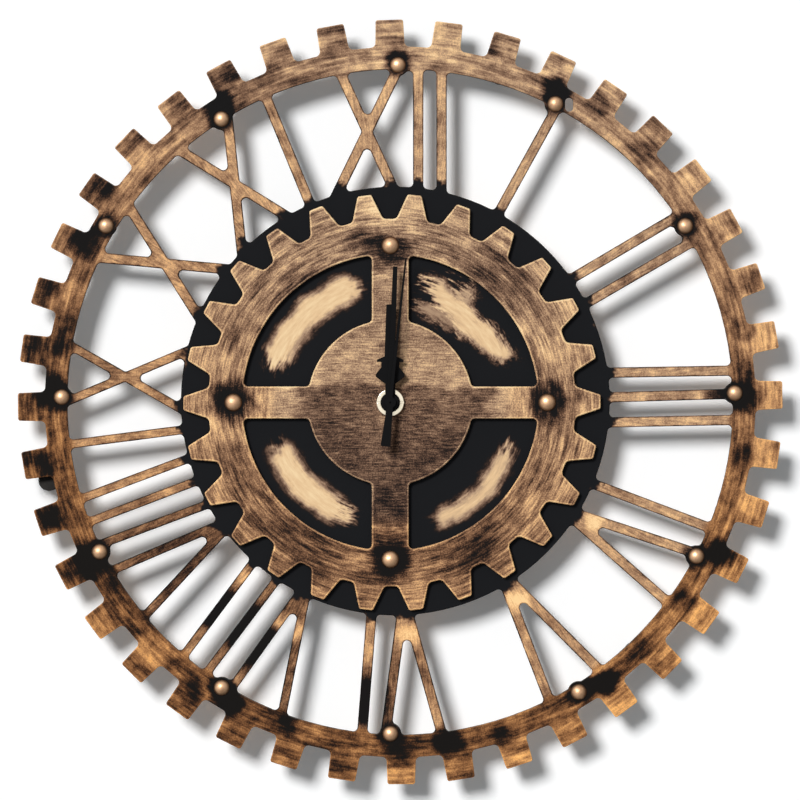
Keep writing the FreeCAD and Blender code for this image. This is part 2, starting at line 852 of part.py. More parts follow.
# Angle of the first tooth of each gear at rest, so that every pair is in mesh
seconds_wheel_angle = 0.0
seconds_pinion_angle = 0.0
third_pinion_angle = 0.0
intermediate_wheel_angle = 0.0
cannon_pinion_angle = 0.0
minute_pinion_angle = 0.0
third_wheel_angle = mesh_angle(seconds_pinion_angle, seconds_pinion_teeth, third_direction,
                               third_wheel_teeth)
centre_wheel_angle = mesh_angle(third_pinion_angle, third_pinion_teeth,
                                third_direction + 180.0, centre_wheel_teeth)
intermediate_pinion_angle = mesh_angle(seconds_wheel_angle, seconds_wheel_teeth,
                                       intermediate_direction, intermediate_pinion_teeth)
rotor_pinion_angle = mesh_angle(intermediate_wheel_angle, intermediate_wheel_teeth,
                                rotor_direction, rotor_pinion_teeth)
minute_wheel_angle = mesh_angle(cannon_pinion_angle, cannon_pinion_teeth,
                                minute_wheel_direction, minute_wheel_teeth)
hour_wheel_angle = mesh_angle(minute_pinion_angle, minute_pinion_teeth,
                              minute_wheel_direction + 180.0, hour_wheel_teeth)


def pivoted_arbor(place):
    """Arbor between the middle plate and the cover, with a thin pivot at each end."""
    return join(
        cylinder(place, arbor_radius, centre_layer, arbor_end),
        cylinder(place, pivot_radius, centre_layer - pivot_length, centre_layer),
        cylinder(place, pivot_radius, arbor_end, pivot_end),
    )


def hour_wheel():
    """Wheel that carries the hour hand on its pipe."""
    gear = wheel(arbor, hour_wheel_teeth, hour_module, hour_wheel_angle, hour_layer,
                 hour_layer_end)
    pipe = cylinder(arbor, hour_pipe_radius, hour_pipe_front, hour_layer_end)
    hole = bore(arbor, minute_pipe_radius + running_clearance, hour_pipe_front, hour_layer_end)
    return join(gear, pipe).cut(hole)


def minute_pipe():
    """Cannon pinion and the pipe that carries the minute hand."""
    gear = pinion(arbor, cannon_pinion_teeth, minute_module, cannon_pinion_angle,
                  minute_layer, minute_layer_end)
    pipe = cylinder(arbor, minute_pipe_radius, minute_pipe_front, centre_layer_end)
    hole = bore(arbor, seconds_arbor_radius + running_clearance, minute_pipe_front,
                centre_layer_end)
    return join(gear, pipe).cut(hole)


def centre_wheel():
    """Wheel that drives the minute pipe through its friction fit."""
    gear = wheel(arbor, centre_wheel_teeth, centre_module, centre_wheel_angle, centre_layer,
                 centre_layer_end)
    return gear.cut(bore(arbor, minute_pipe_radius, centre_layer, centre_layer_end))


def third_wheel():
    """Third wheel with its pinion and arbor, moulded in one."""
    gear = wheel(third_place, third_wheel_teeth, third_module, third_wheel_angle, third_layer,
                 third_layer_end)
    small = pinion(third_place, third_pinion_teeth, centre_module, third_pinion_angle,
                   centre_layer, third_layer)
    return join(gear, small, pivoted_arbor(third_place))


def seconds_wheel():
    """Seconds wheel with its pinion, pressed on the steel arbor."""
    gear = wheel(arbor, seconds_wheel_teeth, intermediate_module, seconds_wheel_angle,
                 seconds_layer, seconds_layer_end)
    small = pinion(arbor, seconds_pinion_teeth, third_module, seconds_pinion_angle, third_layer,
                   seconds_layer)
    return join(gear, small).cut(bore(arbor, seconds_arbor_radius, third_layer,
                                      seconds_layer_end))


def seconds_arbor():
    """Steel arbor that carries the second hand."""
    return join(
        cylinder(arbor, seconds_arbor_radius, seconds_arbor_front, arbor_end),
        cylinder(arbor, pivot_radius, arbor_end, pivot_end),
    )


def intermediate_wheel():
    """Wheel and pinion between the rotor and the seconds wheel."""
    gear = wheel(intermediate_place, intermediate_wheel_teeth, rotor_module,
                 intermediate_wheel_angle, intermediate_layer, intermediate_layer_end)
    small = pinion(intermediate_place, intermediate_pinion_teeth, intermediate_module,
                   intermediate_pinion_angle, seconds_layer, intermediate_layer)
    return join(gear, small, pivoted_arbor(intermediate_place))


def rotor_pinion():
    """Rotor's pinion and arbor."""
    small = pinion(rotor_place, rotor_pinion_teeth, rotor_module, rotor_pinion_angle,
                   intermediate_layer, intermediate_layer_end)
    return join(small, pivoted_arbor(rotor_place))


def rotor_magnet():
    """Round magnet on the rotor's arbor."""
    body = cylinder(rotor_place, magnet_radius, magnet_front, magnet_rear)
    return body.cut(bore(rotor_place, arbor_radius, magnet_front, magnet_rear))


def minute_wheel():
    """Minute wheel, its pinion and the arbor that the setting knob sits on."""
    gear = wheel(minute_wheel_place, minute_wheel_teeth, minute_module, minute_wheel_angle,
                 minute_layer, minute_layer_end)
    small = pinion(minute_wheel_place, minute_pinion_teeth, hour_module, minute_pinion_angle,
                   hour_layer, minute_layer)
    stem = cylinder(minute_wheel_place, minute_arbor_radius, minute_layer_end, -knob_inset)
    pivot = cylinder(minute_wheel_place, pivot_radius, hour_layer - pivot_length + layer_gap,
                     hour_layer)
    return join(gear, small, stem, pivot)


def setting_knob():
    """Ribbed knob that turns the hands by the minute wheel's arbor."""
    front = -knob_inset - knob_thickness
    body = cylinder(minute_wheel_place, knob_radius, front, -knob_inset)
    grooves = [
        bore(aside(minute_wheel_place, knob_radius, 360.0 * index / knob_ribs),
             knob_rib_depth, front, -knob_inset)
        for index in range(knob_ribs)
    ]
    return body.cut(grooves + [bore(minute_wheel_place, minute_arbor_radius, front,
                                    -knob_inset)])


def stator():
    """Soft iron plate round the rotor, with an ear at each end for the core."""
    half_length = stator_length / 2
    half_height = stator_height / 2
    plate = block(rotor_place[0] - half_length, rotor_place[0] + half_length,
                  stator_front, stator_rear,
                  rotor_place[1] - half_height, rotor_place[1] + half_height)
    ears = [block(place[0] - ear_width / 2, place[0] + ear_width / 2, stator_front, stator_rear,
                  rotor_place[1], coil_height + ear_width / 2) for place in ear_places]
    cuts = [bore(rotor_place, magnet_radius + rotor_air_gap, stator_front, stator_rear)]
    for place in ear_places:
        cuts.append(bore(place, peg_radius + peg_clearance, stator_front, stator_rear))
    return join(plate, *ears).cut(cuts)


def coil_core():
    """Iron bar through the coil, lying on the stator's ears."""
    left, right = [place[0] for place in ear_places]
    bar = block(left - ear_width / 2, right + ear_width / 2, stator_rear, core_rear,
                coil_height - core_width / 2, coil_height + core_width / 2)
    return bar.cut([bore(place, peg_radius + peg_clearance, stator_rear, core_rear)
                    for place in ear_places])


def coil_cylinder(radius, left, right):
    """Round bar along X on the coil's axis."""
    return Part.makeCylinder(radius, right - left, Vector(left, coil_depth, coil_height),
                             Vector(1, 0, 0))


def coil_span():
    """Ends of the bobbin along X, between the stator's ears."""
    left, right = [place[0] for place in ear_places]
    return left + ear_width / 2 + bobbin_gap, right - ear_width / 2 - bobbin_gap


def coil_bobbin():
    """Bobbin on the core, with a flange at each end."""
    left, right = coil_span()
    body = join(
        coil_cylinder(bobbin_radius, left, right),
        coil_cylinder(coil_radius, left, left + bobbin_flange_thickness),
        coil_cylinder(coil_radius, right - bobbin_flange_thickness, right),
    )
    half_width = core_width / 2 + peg_clearance
    core_hole = block(left - overrun, right + overrun, stator_rear - peg_clearance,
                      core_rear + peg_clearance, coil_height - half_width,
                      coil_height + half_width)
    return body.cut(core_hole)


def coil_winding():
    """Copper winding between the bobbin's flanges."""
    left, right = coil_span()
    body = coil_cylinder(coil_radius, left + bobbin_flange_thickness,
                         right - bobbin_flange_thickness)
    return body.cut(coil_cylinder(bobbin_radius, left, right))


def board_left():
    """Left edge of the circuit board."""
    return board_gap - inner_right


def board_post_places():
    """Places of the two posts behind the circuit board."""
    column = board_left() + board_width / 2
    return [(column, board_low + board_post_radius),
            (column, board_low + board_height - board_post_radius)]


def circuit_board():
    """Board with the clock's oscillator."""
    return block(board_left(), board_left() + board_width, board_front, board_rear,
                 board_low, board_low + board_height)


def quartz_crystal():
    """Crystal's can, lying on the board."""
    start = Vector(board_left() + (board_width - crystal_length) / 2,
                   board_front - crystal_radius, board_low + crystal_rise)
    return Part.makeCylinder(crystal_radius, crystal_length, start, Vector(1, 0, 0))


def control_chip():
    """Drop of resin over the chip."""
    sphere_radius = (chip_radius ** 2 + chip_height ** 2) / (2 * chip_height)
    place = (board_left() + board_width / 2, board_low + chip_rise)
    ball = Part.makeSphere(sphere_radius, point(place, board_front - chip_height
                                                + sphere_radius))
    return ball.common(cylinder(place, chip_radius, board_front - chip_height, board_front))


def battery():
    """Round cell with its nub to the right."""
    right = inner_right - contact_thickness
    nub_left = right - battery_nub_length
    left = right - battery_length
    axis = Vector(1, 0, 0)
    body = Part.makeCylinder(battery_radius, nub_left - left,
                             Vector(left, battery_depth, battery_height), axis)
    nub = Part.makeCylinder(battery_nub_radius, battery_nub_length,
                            Vector(nub_left, battery_depth, battery_height), axis)
    return join(body, nub)


def lead_top():
    """Height that both leads reach, on the circuit board's face."""
    return board_low + lead_reach


def positive_contact():
    """Strip at the battery's nub, with its lead along the divider to the board."""
    outer = inner_right
    inner = inner_right - contact_thickness
    front = battery_depth - contact_width / 2
    pad = block(inner, outer, front, front + contact_width,
                battery_height - contact_height / 2, battery_height + contact_height / 2)
    lead_front = board_front - lead_width
    riser = block(inner, outer, lead_front, board_front, battery_height,
                  divider_high + contact_thickness)
    column = board_left() + lead_column
    run = block(column, outer, lead_front, board_front, divider_high,
                divider_high + contact_thickness)
    stem = block(column, column + contact_thickness, lead_front, board_front, divider_high,
                 lead_top())
    return join(pad, riser, run, stem)


def negative_contact():
    """Strip at the battery's flat end, with a bowed spring and its lead."""
    outer = -inner_right
    inner = contact_thickness - inner_right
    front = battery_depth - contact_width / 2
    pad = block(outer, inner, front, front + contact_width,
                battery_height - contact_height / 2, battery_height + contact_height / 2)
    lead = block(outer, inner, board_front - lead_width, board_front, battery_height,
                 lead_top())
    touch = inner_right - contact_thickness - battery_length
    bow = sharp_loop([
        (inner, battery_height + spring_half_height),
        (touch, battery_height),
        (inner, battery_height - spring_half_height),
        (inner, battery_height - spring_half_height + 2 * contact_thickness),
        (touch - contact_thickness, battery_height),
        (inner, battery_height + spring_half_height - 2 * contact_thickness),
    ])
    return join(pad, lead, prism(bow, front, front + contact_width))


def hanger_rivet_depth():
    """Depth of the two rivets that hold the hanger's foot."""
    return -hanger_inset - hanger_foot / 2


def hanger():
    """Bent steel tab on top of the case, with a round hole for the nail."""
    top = case_height / 2
    half_width = hanger_width / 2
    rear = -hanger_inset
    foot = block(-half_width, half_width, rear - hanger_foot, rear, top, top + hanger_thickness)
    outline = rounded_loop([((-half_width, top), 0.0),
                            ((-half_width, top + hanger_rise), half_width / 2),
                            ((half_width, top + hanger_rise), half_width / 2),
                            ((half_width, top), 0.0)])
    tab = prism(outline, rear - hanger_thickness, rear)
    cuts = [bore((0.0, top + hanger_hole_rise), hanger_hole_radius, rear - hanger_thickness,
                 rear)]
    for side in (-1, 1):
        cuts.append(Part.makeCylinder(rivet_radius, hanger_thickness + 2 * overrun,
                                      Vector(side * rivet_spacing / 2, hanger_rivet_depth(),
                                             top - overrun), Vector(0, 0, 1)))
    return join(foot, tab).cut(cuts)


def hand(outline, angle, thickness, hub_radius, hole_radius, collet_length, front):
    """Flat hand with a round hub, pressed on its pipe or arbor by a collet."""
    blade = prism(outline, front, front + thickness)
    hub = cylinder(arbor, hub_radius, front, front + thickness)
    collet = cylinder(arbor, hole_radius + collet_wall, front, front + thickness
                      + collet_length)
    body = join(blade, hub, collet)
    body = body.cut(bore(arbor, hole_radius, front, front + thickness + collet_length))
    body.rotate(Vector(0, 0, 0), Vector(0, 1, 0), angle)
    return body


def mirrored_outline(profile):
    """Closed outline from half widths and heights up the right side of a hand."""
    right = [((half, height), radius) for half, height, radius in profile]
    left = [((-half, height), radius) for half, height, radius in reversed(profile)]
    return rounded_loop(right + left)


def hour_hand():
    """Hour hand with a flared spade near its hub and a blunt tip."""
    length = hour_hand_length
    cross = hour_cross_half_share * length
    profile = [
        (hour_neck_width / 2, 0.0, 0.0),
        (hour_neck_width / 2, hour_flare_start_share * length, hand_tip_round),
        (hour_flare_width / 2, (hour_flare_share - hour_cross_half_share) * length,
         hand_tip_round),
        (hour_flare_width / 2, (hour_flare_share + hour_cross_half_share) * length,
         hand_tip_round),
        (hour_waist_width / 2, hour_waist_share * length, hand_tip_round),
        (hour_waist_width / 2, hour_cross_share * length - cross, hand_tip_round),
        (hour_cross_width / 2, hour_cross_share * length - cross, hand_tip_round),
        (hour_cross_width / 2, hour_cross_share * length + cross, hand_tip_round),
        (hour_blade_width / 2, hour_blade_share * length, hand_tip_round),
        (hour_tip_width / 2, length, hand_tip_round),
    ]
    return hand(mirrored_outline(profile), hour_hand_angle, hour_hand_thickness,
                hour_hub_radius, hour_pipe_radius, hour_collet_length, hour_pipe_front)


def minute_hand():
    """Plain tapered minute hand."""
    profile = [
        (minute_root_width / 2, 0.0, 0.0),
        (minute_tip_width / 2, minute_hand_length, hand_tip_round),
    ]
    return hand(mirrored_outline(profile), minute_hand_angle, minute_hand_thickness,
                minute_hub_radius, minute_pipe_radius, minute_collet_length,
                minute_pipe_front)


def second_hand():
    """Thin second hand with a tail that widens to its end."""
    profile = [
        (second_tail_end_width / 2, -second_hand_tail, hand_tip_round),
        (second_tail_root_width / 2, 0.0, 0.0),
        (second_root_width / 2, second_hub_radius, 0.0),
        (second_tip_width / 2, second_hand_length, hand_tip_round),
    ]
    return hand(mirrored_outline(profile), second_hand_angle, second_hand_thickness,
                second_hub_radius, seconds_arbor_radius, second_collet_length,
                seconds_arbor_front)


sub_parts = [
    dial_plate, front_gear, ring_studs, gear_studs, wall_pads,
    threaded_bushing, rubber_gasket, brass_washer, fixing_nut,
    movement_case, movement_cover, middle_plate, hanger,
    hour_wheel, minute_pipe, centre_wheel, third_wheel, seconds_wheel, seconds_arbor,
    intermediate_wheel, rotor_pinion, rotor_magnet, minute_wheel, setting_knob,
    stator, coil_core, coil_bobbin, coil_winding,
    circuit_board, quartz_crystal, control_chip,
    battery, positive_contact, negative_contact,
    hour_hand, minute_hand, second_hand,
]

os.makedirs("parts", exist_ok=True)
for make in sub_parts:
    make().exportStep(os.path.join("parts", make.__name__ + ".step"))
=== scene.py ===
"""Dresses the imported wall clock: boards, nails, hands, movement, wall, light and camera."""

import json
import logging
import math
from dataclasses import dataclass, field
from enum import Enum
from functools import cached_property
from typing import NamedTuple, Optional, Sequence, Union

import bmesh
import bpy
from mathutils import Matrix, Vector

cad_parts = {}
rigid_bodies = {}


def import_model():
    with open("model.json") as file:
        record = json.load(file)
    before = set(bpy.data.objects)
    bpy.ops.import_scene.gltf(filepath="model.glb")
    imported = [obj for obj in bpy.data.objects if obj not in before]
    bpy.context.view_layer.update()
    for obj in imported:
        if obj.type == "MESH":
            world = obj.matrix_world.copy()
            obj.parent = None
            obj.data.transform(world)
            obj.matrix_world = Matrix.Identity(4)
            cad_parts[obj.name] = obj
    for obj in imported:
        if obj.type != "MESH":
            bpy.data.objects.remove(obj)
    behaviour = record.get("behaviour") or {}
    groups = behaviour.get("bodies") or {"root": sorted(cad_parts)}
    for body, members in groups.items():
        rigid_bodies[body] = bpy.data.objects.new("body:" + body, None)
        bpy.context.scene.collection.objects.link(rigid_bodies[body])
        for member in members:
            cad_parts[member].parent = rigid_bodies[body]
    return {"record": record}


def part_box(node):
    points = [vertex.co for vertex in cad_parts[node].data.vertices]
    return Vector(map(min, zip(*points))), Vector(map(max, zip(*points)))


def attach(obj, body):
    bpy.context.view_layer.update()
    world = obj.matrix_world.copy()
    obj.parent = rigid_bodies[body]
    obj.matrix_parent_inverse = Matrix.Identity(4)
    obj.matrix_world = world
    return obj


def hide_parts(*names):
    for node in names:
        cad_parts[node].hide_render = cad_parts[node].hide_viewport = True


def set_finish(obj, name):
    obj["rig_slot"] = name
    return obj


LOG = logging.getLogger("wall_clock")
MM = 0.001
FLOAT, VECTOR = "NodeSocketFloat", "NodeSocketVector"
SCALAR_RESULTS = ("LENGTH", "DISTANCE", "DOT_PRODUCT")

Colour = tuple[float, float, float, float]
Point = tuple[float, float, float]
Cage = bmesh.types.BMesh
Tree = bpy.types.NodeTree
Socket = bpy.types.NodeSocket
Input = Union[Socket, float, Sequence[float]]


def srgb(red: int, green: int, blue: int) -> Colour:
    """Turns an 8-bit screen colour into the linear colour that a shader takes.

    Args:
        red: Red from 0 to 255.
        green: Green from 0 to 255.
        blue: Blue from 0 to 255.

    Returns:
        Linear red, green, blue and an alpha of one.
    """
    shares = [level / 255.0 for level in (red, green, blue)]
    linear = [share / 12.92 if share <= 0.04045 else ((share + 0.055) / 1.055) ** 2.4
              for share in shares]
    return linear[0], linear[1], linear[2], 1.0


WHITE = (1.0, 1.0, 1.0, 1.0)
HALF = (0.5, 0.5, 0.5)
DUST = srgb(150, 143, 132)


class Body(Enum):
    """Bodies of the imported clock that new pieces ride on."""

    CLOCK = "clock"
    HOURS = "hours"
    MINUTES = "minutes"
    SECONDS = "seconds"
    MINUTE_ARBOR = "minute_arbor"


class Noise(Enum):
    """Outputs of a noise node."""

    VALUE = "Fac"
    COLOUR = "Color"


class Arm(NamedTuple):
    """Place about a centre: unit direction to the right and up, radius and dial angle."""

    right: Socket
    up: Socket
    radius: Socket
    angle: Socket


class Graph:
    """Writes shader nodes into a tree with short calls."""

    def __init__(self, tree: Tree) -> None:
        """Takes the tree that the nodes go into."""
        self.tree = tree

    def node(self, kind: str, inputs: Optional[dict[Union[int, str], Input]] = None,
             **settings: object) -> bpy.types.Node:
        """Adds a node.

        Args:
            kind: Name of the node's type.
            inputs: What goes into its inputs, by number or name.
            **settings: Properties of the node.

        Returns:
            The new node.
        """
        made = self.tree.nodes.new(kind)
        for name, value in settings.items():
            setattr(made, name, value)
        for key, value in (inputs or {}).items():
            self.feed(made.inputs[key], value)
        return made

    def feed(self, socket: Socket, value: Input) -> None:
        """Links a socket to an output, or gives it a constant.

        Args:
            socket: Input that takes the value.
            value: Output of another node, or a constant.
        """
        if isinstance(value, Socket):
            self.tree.links.new(value, socket)
        else:
            socket.default_value = value

    def math(self, operation: str, *values: Input, clamp: bool = False) -> Socket:
        """Result of a math node, with Blender's name for the operation."""
        return self.node("ShaderNodeMath", dict(enumerate(values)), operation=operation,
                         use_clamp=clamp).outputs[0]

    def vector(self, operation: str, *values: Input) -> Socket:
        """Result of a vector math node, with Blender's name for the operation."""
        made = self.node("ShaderNodeVectorMath", dict(enumerate(values)), operation=operation)
        return made.outputs["Value" if operation in SCALAR_RESULTS else "Vector"]

    def scaled(self, vector: Input, factor: Input) -> Socket:
        """Vector times a factor."""
        return self.node("ShaderNodeVectorMath", {0: vector, "Scale": factor},
                         operation="SCALE").outputs[0]

    def join(self, x: Input, y: Input, z: Input) -> Socket:
        """Vector from three values."""
        return self.node("ShaderNodeCombineXYZ", {0: x, 1: y, 2: z}).outputs[0]

    def split(self, vector: Socket) -> Sequence[Socket]:
        """Three values of a vector."""
        return self.node("ShaderNodeSeparateXYZ", {0: vector}).outputs[:]

    @cached_property
    def place(self) -> Socket:
        """Place on the piece in millimetres, read once in each tree."""
        texture = self.node("ShaderNodeTexCoord")
        return self.scaled(texture.outputs["Object"], 1 / MM)

    def facing(self) -> Socket:
        """How far the surface faces the wall: 1 at the back and -1 at the front."""
        geometry = self.node("ShaderNodeNewGeometry")
        return self.split(geometry.outputs["True Normal"])[1]

    def noise(self, vector: Socket, scale: Input, detail: float = 2.0, roughness: float = 0.5,
              output: Noise = Noise.VALUE) -> Socket:
        """Noise about one half, with its features per unit, finer layers and their share."""
        inputs = {"Vector": vector, "Scale": scale, "Detail": detail, "Roughness": roughness}
        return self.node("ShaderNodeTexNoise", inputs).outputs[output.value]

    def centred(self, noise: Socket) -> Socket:
        """Noise about zero."""
        return self.math("SUBTRACT", noise, 0.5)

    def smooth(self, value: Input, low: Input, high: Input, start: float = 0.0,
               end: float = 1.0) -> Socket:
        """Smooth step from the start at the low level to the end at the high level."""
        inputs = dict(enumerate((value, low, high, start, end)))
        return self.node("ShaderNodeMapRange", inputs, interpolation_type="SMOOTHSTEP").outputs[0]

    def band(self, value: Socket, low: float, high: float, soft: float) -> Socket:
        """Mask of the values between two levels, with soft ends."""
        fall = self.smooth(value, high - soft, high + soft, 1.0, 0.0)
        return self.math("MULTIPLY", self.smooth(value, low - soft, low + soft), fall)

    def ramp(self, value: Input, stops: Sequence[tuple[float, Colour]]) -> Socket:
        """Adds a colour ramp.

        Args:
            value: Level that is looked up.
            stops: Levels and their colours, from low to high.

        Returns:
            The colour.
        """
        made = self.node("ShaderNodeValToRGB", {0: value})
        elements = made.color_ramp.elements
        while len(elements) < len(stops):
            elements.new(1.0)
        for element, stop in zip(elements, stops):
            element.position, element.color = stop
        return made.outputs[0]

    def mix(self, factor: Input, first: Input, second: Input, kind: str = "MIX") -> Socket:
        """Blends a share of the second colour into the first."""
        return self.node("ShaderNodeMix", {0: factor, 6: first, 7: second}, data_type="RGBA",
                         blend_type=kind).outputs[2]

    def choose(self, factor: Input, first: Input, second: Input) -> Socket:
        """Blends a share of the second value into the first."""
        return self.node("ShaderNodeMix", {0: factor, 2: first, 3: second},
                         data_type="FLOAT").outputs[0]

    def total(self, start: Input, *terms: tuple[Socket, Input]) -> Socket:
        """Adds values, each times its weight.

        Args:
            start: What they are added to.
            *terms: Values and their weights.

        Returns:
            The sum.
        """
        for value, weight in terms:
            start = self.math("MULTIPLY_ADD", value, weight, start)
        return start

    def varied(self, start: Input, *terms: tuple[Socket, Input]) -> Socket:
        """Adds noises about zero, each times its weight, to a start."""
        return self.total(start, *((self.centred(noise), weight) for noise, weight in terms))

    def polar(self, flat: Socket, centre: Sequence[float]) -> Arm:
        """Measures a place about a centre.

        Args:
            flat: Place in millimetres.
            centre: Centre's X and Z in millimetres.

        Returns:
            Direction, radius, and the angle clockwise from twelve from 0 to 360 degrees.
        """
        arm = self.vector("SUBTRACT", flat, (centre[0], 0.0, centre[1]))
        x, _, z = self.split(arm)
        turn = self.math("MULTIPLY_ADD", self.math("ARCTAN2", x, z), 180 / math.pi, 360.0)
        right, _, up = self.split(self.vector("NORMALIZE", arm))
        return Arm(right, up, self.vector("LENGTH", arm), self.math("MODULO", turn, 360.0))

    def strokes(self, arm: Arm, around: float, outward: float, detail: float = 3.0,
                roughness: float = 0.6) -> Socket:
        """Draws noise out into brush strokes round a centre.

        Args:
            arm: Place about the centre.
            around: Features around, in each radian.
            outward: Features outward, in each millimetre.
            detail: Number of finer layers.
            roughness: Strength of the finer layers.

        Returns:
            The noise.
        """
        place = self.join(self.math("MULTIPLY", arm.right, around),
                          self.math("MULTIPLY", arm.radius, outward),
                          self.math("MULTIPLY", arm.up, around))
        return self.noise(place, 1.0, detail, roughness)

    def group(self, tree: Tree, **values: Input) -> Sequence[Socket]:
        """Outputs of a shared node group that gets these inputs."""
        return self.node("ShaderNodeGroup", values, node_tree=tree).outputs


def new_group(name: str, inputs: dict[str, str],
              *outputs: str) -> tuple[Graph, Sequence[Socket], Sequence[Socket]]:
    """Starts a shared node group.

    Args:
        name: Name of the group.
        inputs: Names and socket types of what it takes.
        *outputs: Names of the values that it gives.

    Returns:
        The group's graph, what it takes as seen inside, and what it has to be given.
    """
    tree = bpy.data.node_groups.new(name, "ShaderNodeTree")
    for label, kind in inputs.items():
        tree.interface.new_socket(label, in_out="INPUT", socket_type=kind)
    for label in outputs:
        tree.interface.new_socket(label, in_out="OUTPUT", socket_type=FLOAT)
    graph = Graph(tree)
    return graph, graph.node("NodeGroupInput").outputs, graph.node("NodeGroupOutput").inputs


class Effects:
    """Node groups that several finishes share.

    PATCH_CORE is the share of a patch's reach that has its full strength, RIM_BREAKS the
    strength of the noise that breaks the lighter or darker rim along the edges, and RIM_EDGE
    the width of its soft edge.
    """

    PATCH_CORE = 0.2
    RIM_BREAKS = 1.5
    RIM_EDGE = 0.45

    def __init__(self) -> None:
        """Builds each group once."""
        self.spot, self.rim_wear_highlight_shade = self._spot(), self._rim_wear_highlight_shade()
        self.grain, self.dust = self._grain(), self._dust()

    def _spot(self) -> Tree:
        """Builds a soft round patch that is added to a running sum.

        Returns:
            The group.
        """
        graph, taken, given = new_group(
            "paint_patch", {"Sum": FLOAT, "Place": VECTOR, "Centre": VECTOR, "Reach": FLOAT,
                            "Strength": FLOAT}, "Sum")
        distance = graph.vector("DISTANCE", taken["Place"], taken["Centre"])
        inner = graph.math("MULTIPLY", taken["Reach"], self.PATCH_CORE)
        mask = graph.smooth(distance, inner, taken["Reach"], 1.0, 0.0)
        graph.feed(given["Sum"], graph.total(taken["Sum"], (mask, taken["Strength"])))
        return graph.tree

    def _rim_wear_highlight_shade(self) -> Tree:
        """Builds a broken mask along the edges that the mesh marks, for lighter rims of worn
        paint and painted highlight and for darker rims of painted shade.

        Returns:
            The group.
        """
        graph, taken, given = new_group(
            "edge_wear", {"Rim": FLOAT, "Place": VECTOR, "Reach": FLOAT}, "Mask")
        broken = graph.noise(taken["Place"], 0.35, 3.0, 0.65)
        level = graph.varied(taken["Rim"], (broken, self.RIM_BREAKS))
        low = graph.math("SUBTRACT", 1.0, taken["Reach"])
        high = graph.math("ADD", low, self.RIM_EDGE)
        graph.feed(given["Mask"], graph.smooth(level, low, high))
        return graph.tree

    def _grain(self) -> Tree:
        """Builds mottle, specks and a fine surface height for paint and plastic.

        Returns:
            The group.
        """
        graph, taken, given = new_group("surface_grain", {"Place": VECTOR, "Size": FLOAT},
                                        "Mottle", "Specks", "Height")
        near = graph.scaled(taken["Place"], graph.math("DIVIDE", 1.0, taken["Size"]))
        for label, scale, detail, roughness in (("Mottle", 0.12, 3.0, 0.55),
                                                ("Specks", 1.15, 2.0, 0.6),
                                                ("Height", 1.0, 4.0, 0.6)):
            graph.feed(given[label], graph.noise(near, scale, detail, roughness))
        return graph.tree

    def _dust(self) -> Tree:
        """Builds the mask of dust that settles on surfaces that face up.

        Returns:
            The group.
        """
        graph, taken, given = new_group("settled_dust", {"Place": VECTOR, "Amount": FLOAT},
                                        "Mask")
        geometry = graph.node("ShaderNodeNewGeometry")
        up = graph.split(geometry.outputs["Normal"])[2]
        level = graph.math("MULTIPLY", graph.smooth(up, 0.1, 1.0),
                           graph.noise(taken["Place"], 0.2, 3.0, 0.6))
        graph.feed(given["Mask"], graph.math("MULTIPLY", level, taken["Amount"], clamp=True))
        return graph.tree


class Surface:
    """A material under construction: its graph, its shader and the shared effects."""

    def __init__(self, name: str, effects: Optional[Effects] = None) -> None:
        """Starts a material with one principled shader.

        Args:
            name: Name of the material.
            effects: The shared node groups.
        """
        self.material = bpy.data.materials.new(name)
        self.material.use_nodes = True
        self.effects = effects
        self.graph = Graph(self.material.node_tree)
        self.shader = self.material.node_tree.nodes["Principled BSDF"]

    def give(self, **values: Input) -> None:
        """Feeds sockets of the shader, with an underscore for each blank in a name."""
        for name, value in values.items():
            self.graph.feed(self.shader.inputs[name.replace("_", " ")], value)

    def bump(self, height: Socket, depth_mm: float) -> None:
        """Feeds the shader's normal from a height in units of a depth."""
        inputs = {"Strength": 1.0, "Distance": depth_mm * MM, "Height": height}
        self.give(Normal=self.graph.node("ShaderNodeBump", inputs).outputs["Normal"])


@dataclass(frozen=True)
class Finish:
    """A named finish of the clock."""

    name: str

    def material(self, effects: Effects) -> bpy.types.Material:
        """Builds the finish.

        Args:
            effects: The shared node groups.

        Returns:
            The material.
        """
        surface = Surface(self.name, effects)
        self.lay(surface)
        return surface.material

    def lay(self, surface: Surface) -> None:
        """Lays the finish on a surface."""
        raise NotImplementedError


@dataclass(frozen=True)
class Plastic(Finish):
    """Moulded or painted finish with a fine texture."""

    colour: Colour
    roughness: float = 0.45
    texture_mm: float = 0.5
    depth_mm: float = 0.01
    contrast: float = 0.12
    dust: float = 0.25
    specular: float = 0.5
    speck_rough: float = 0.1
    dust_rough: float = 0.3

    def lay(self, surface: Surface) -> None:
        """Lays the finish.

        Args:
            surface: The material under construction.
        """
        graph, effects = surface.graph, surface.effects
        grain = graph.group(effects.grain, Place=graph.place, Size=self.texture_mm)
        shade = graph.smooth(grain["Mottle"], 0.25, 0.75, 1 - self.contrast, 1 + self.contrast)
        tinted = graph.mix(1.0, self.colour, graph.join(shade, shade, shade), "MULTIPLY")
        dust = graph.group(effects.dust, Place=graph.place, Amount=self.dust)["Mask"]
        rough = graph.total(self.roughness - self.speck_rough / 2,
                            (grain["Specks"], self.speck_rough), (dust, self.dust_rough))
        surface.give(Base_Color=graph.mix(dust, tinted, DUST), Roughness=rough,
                     Specular_IOR_Level=self.specular)
        surface.bump(grain["Height"], self.depth_mm)


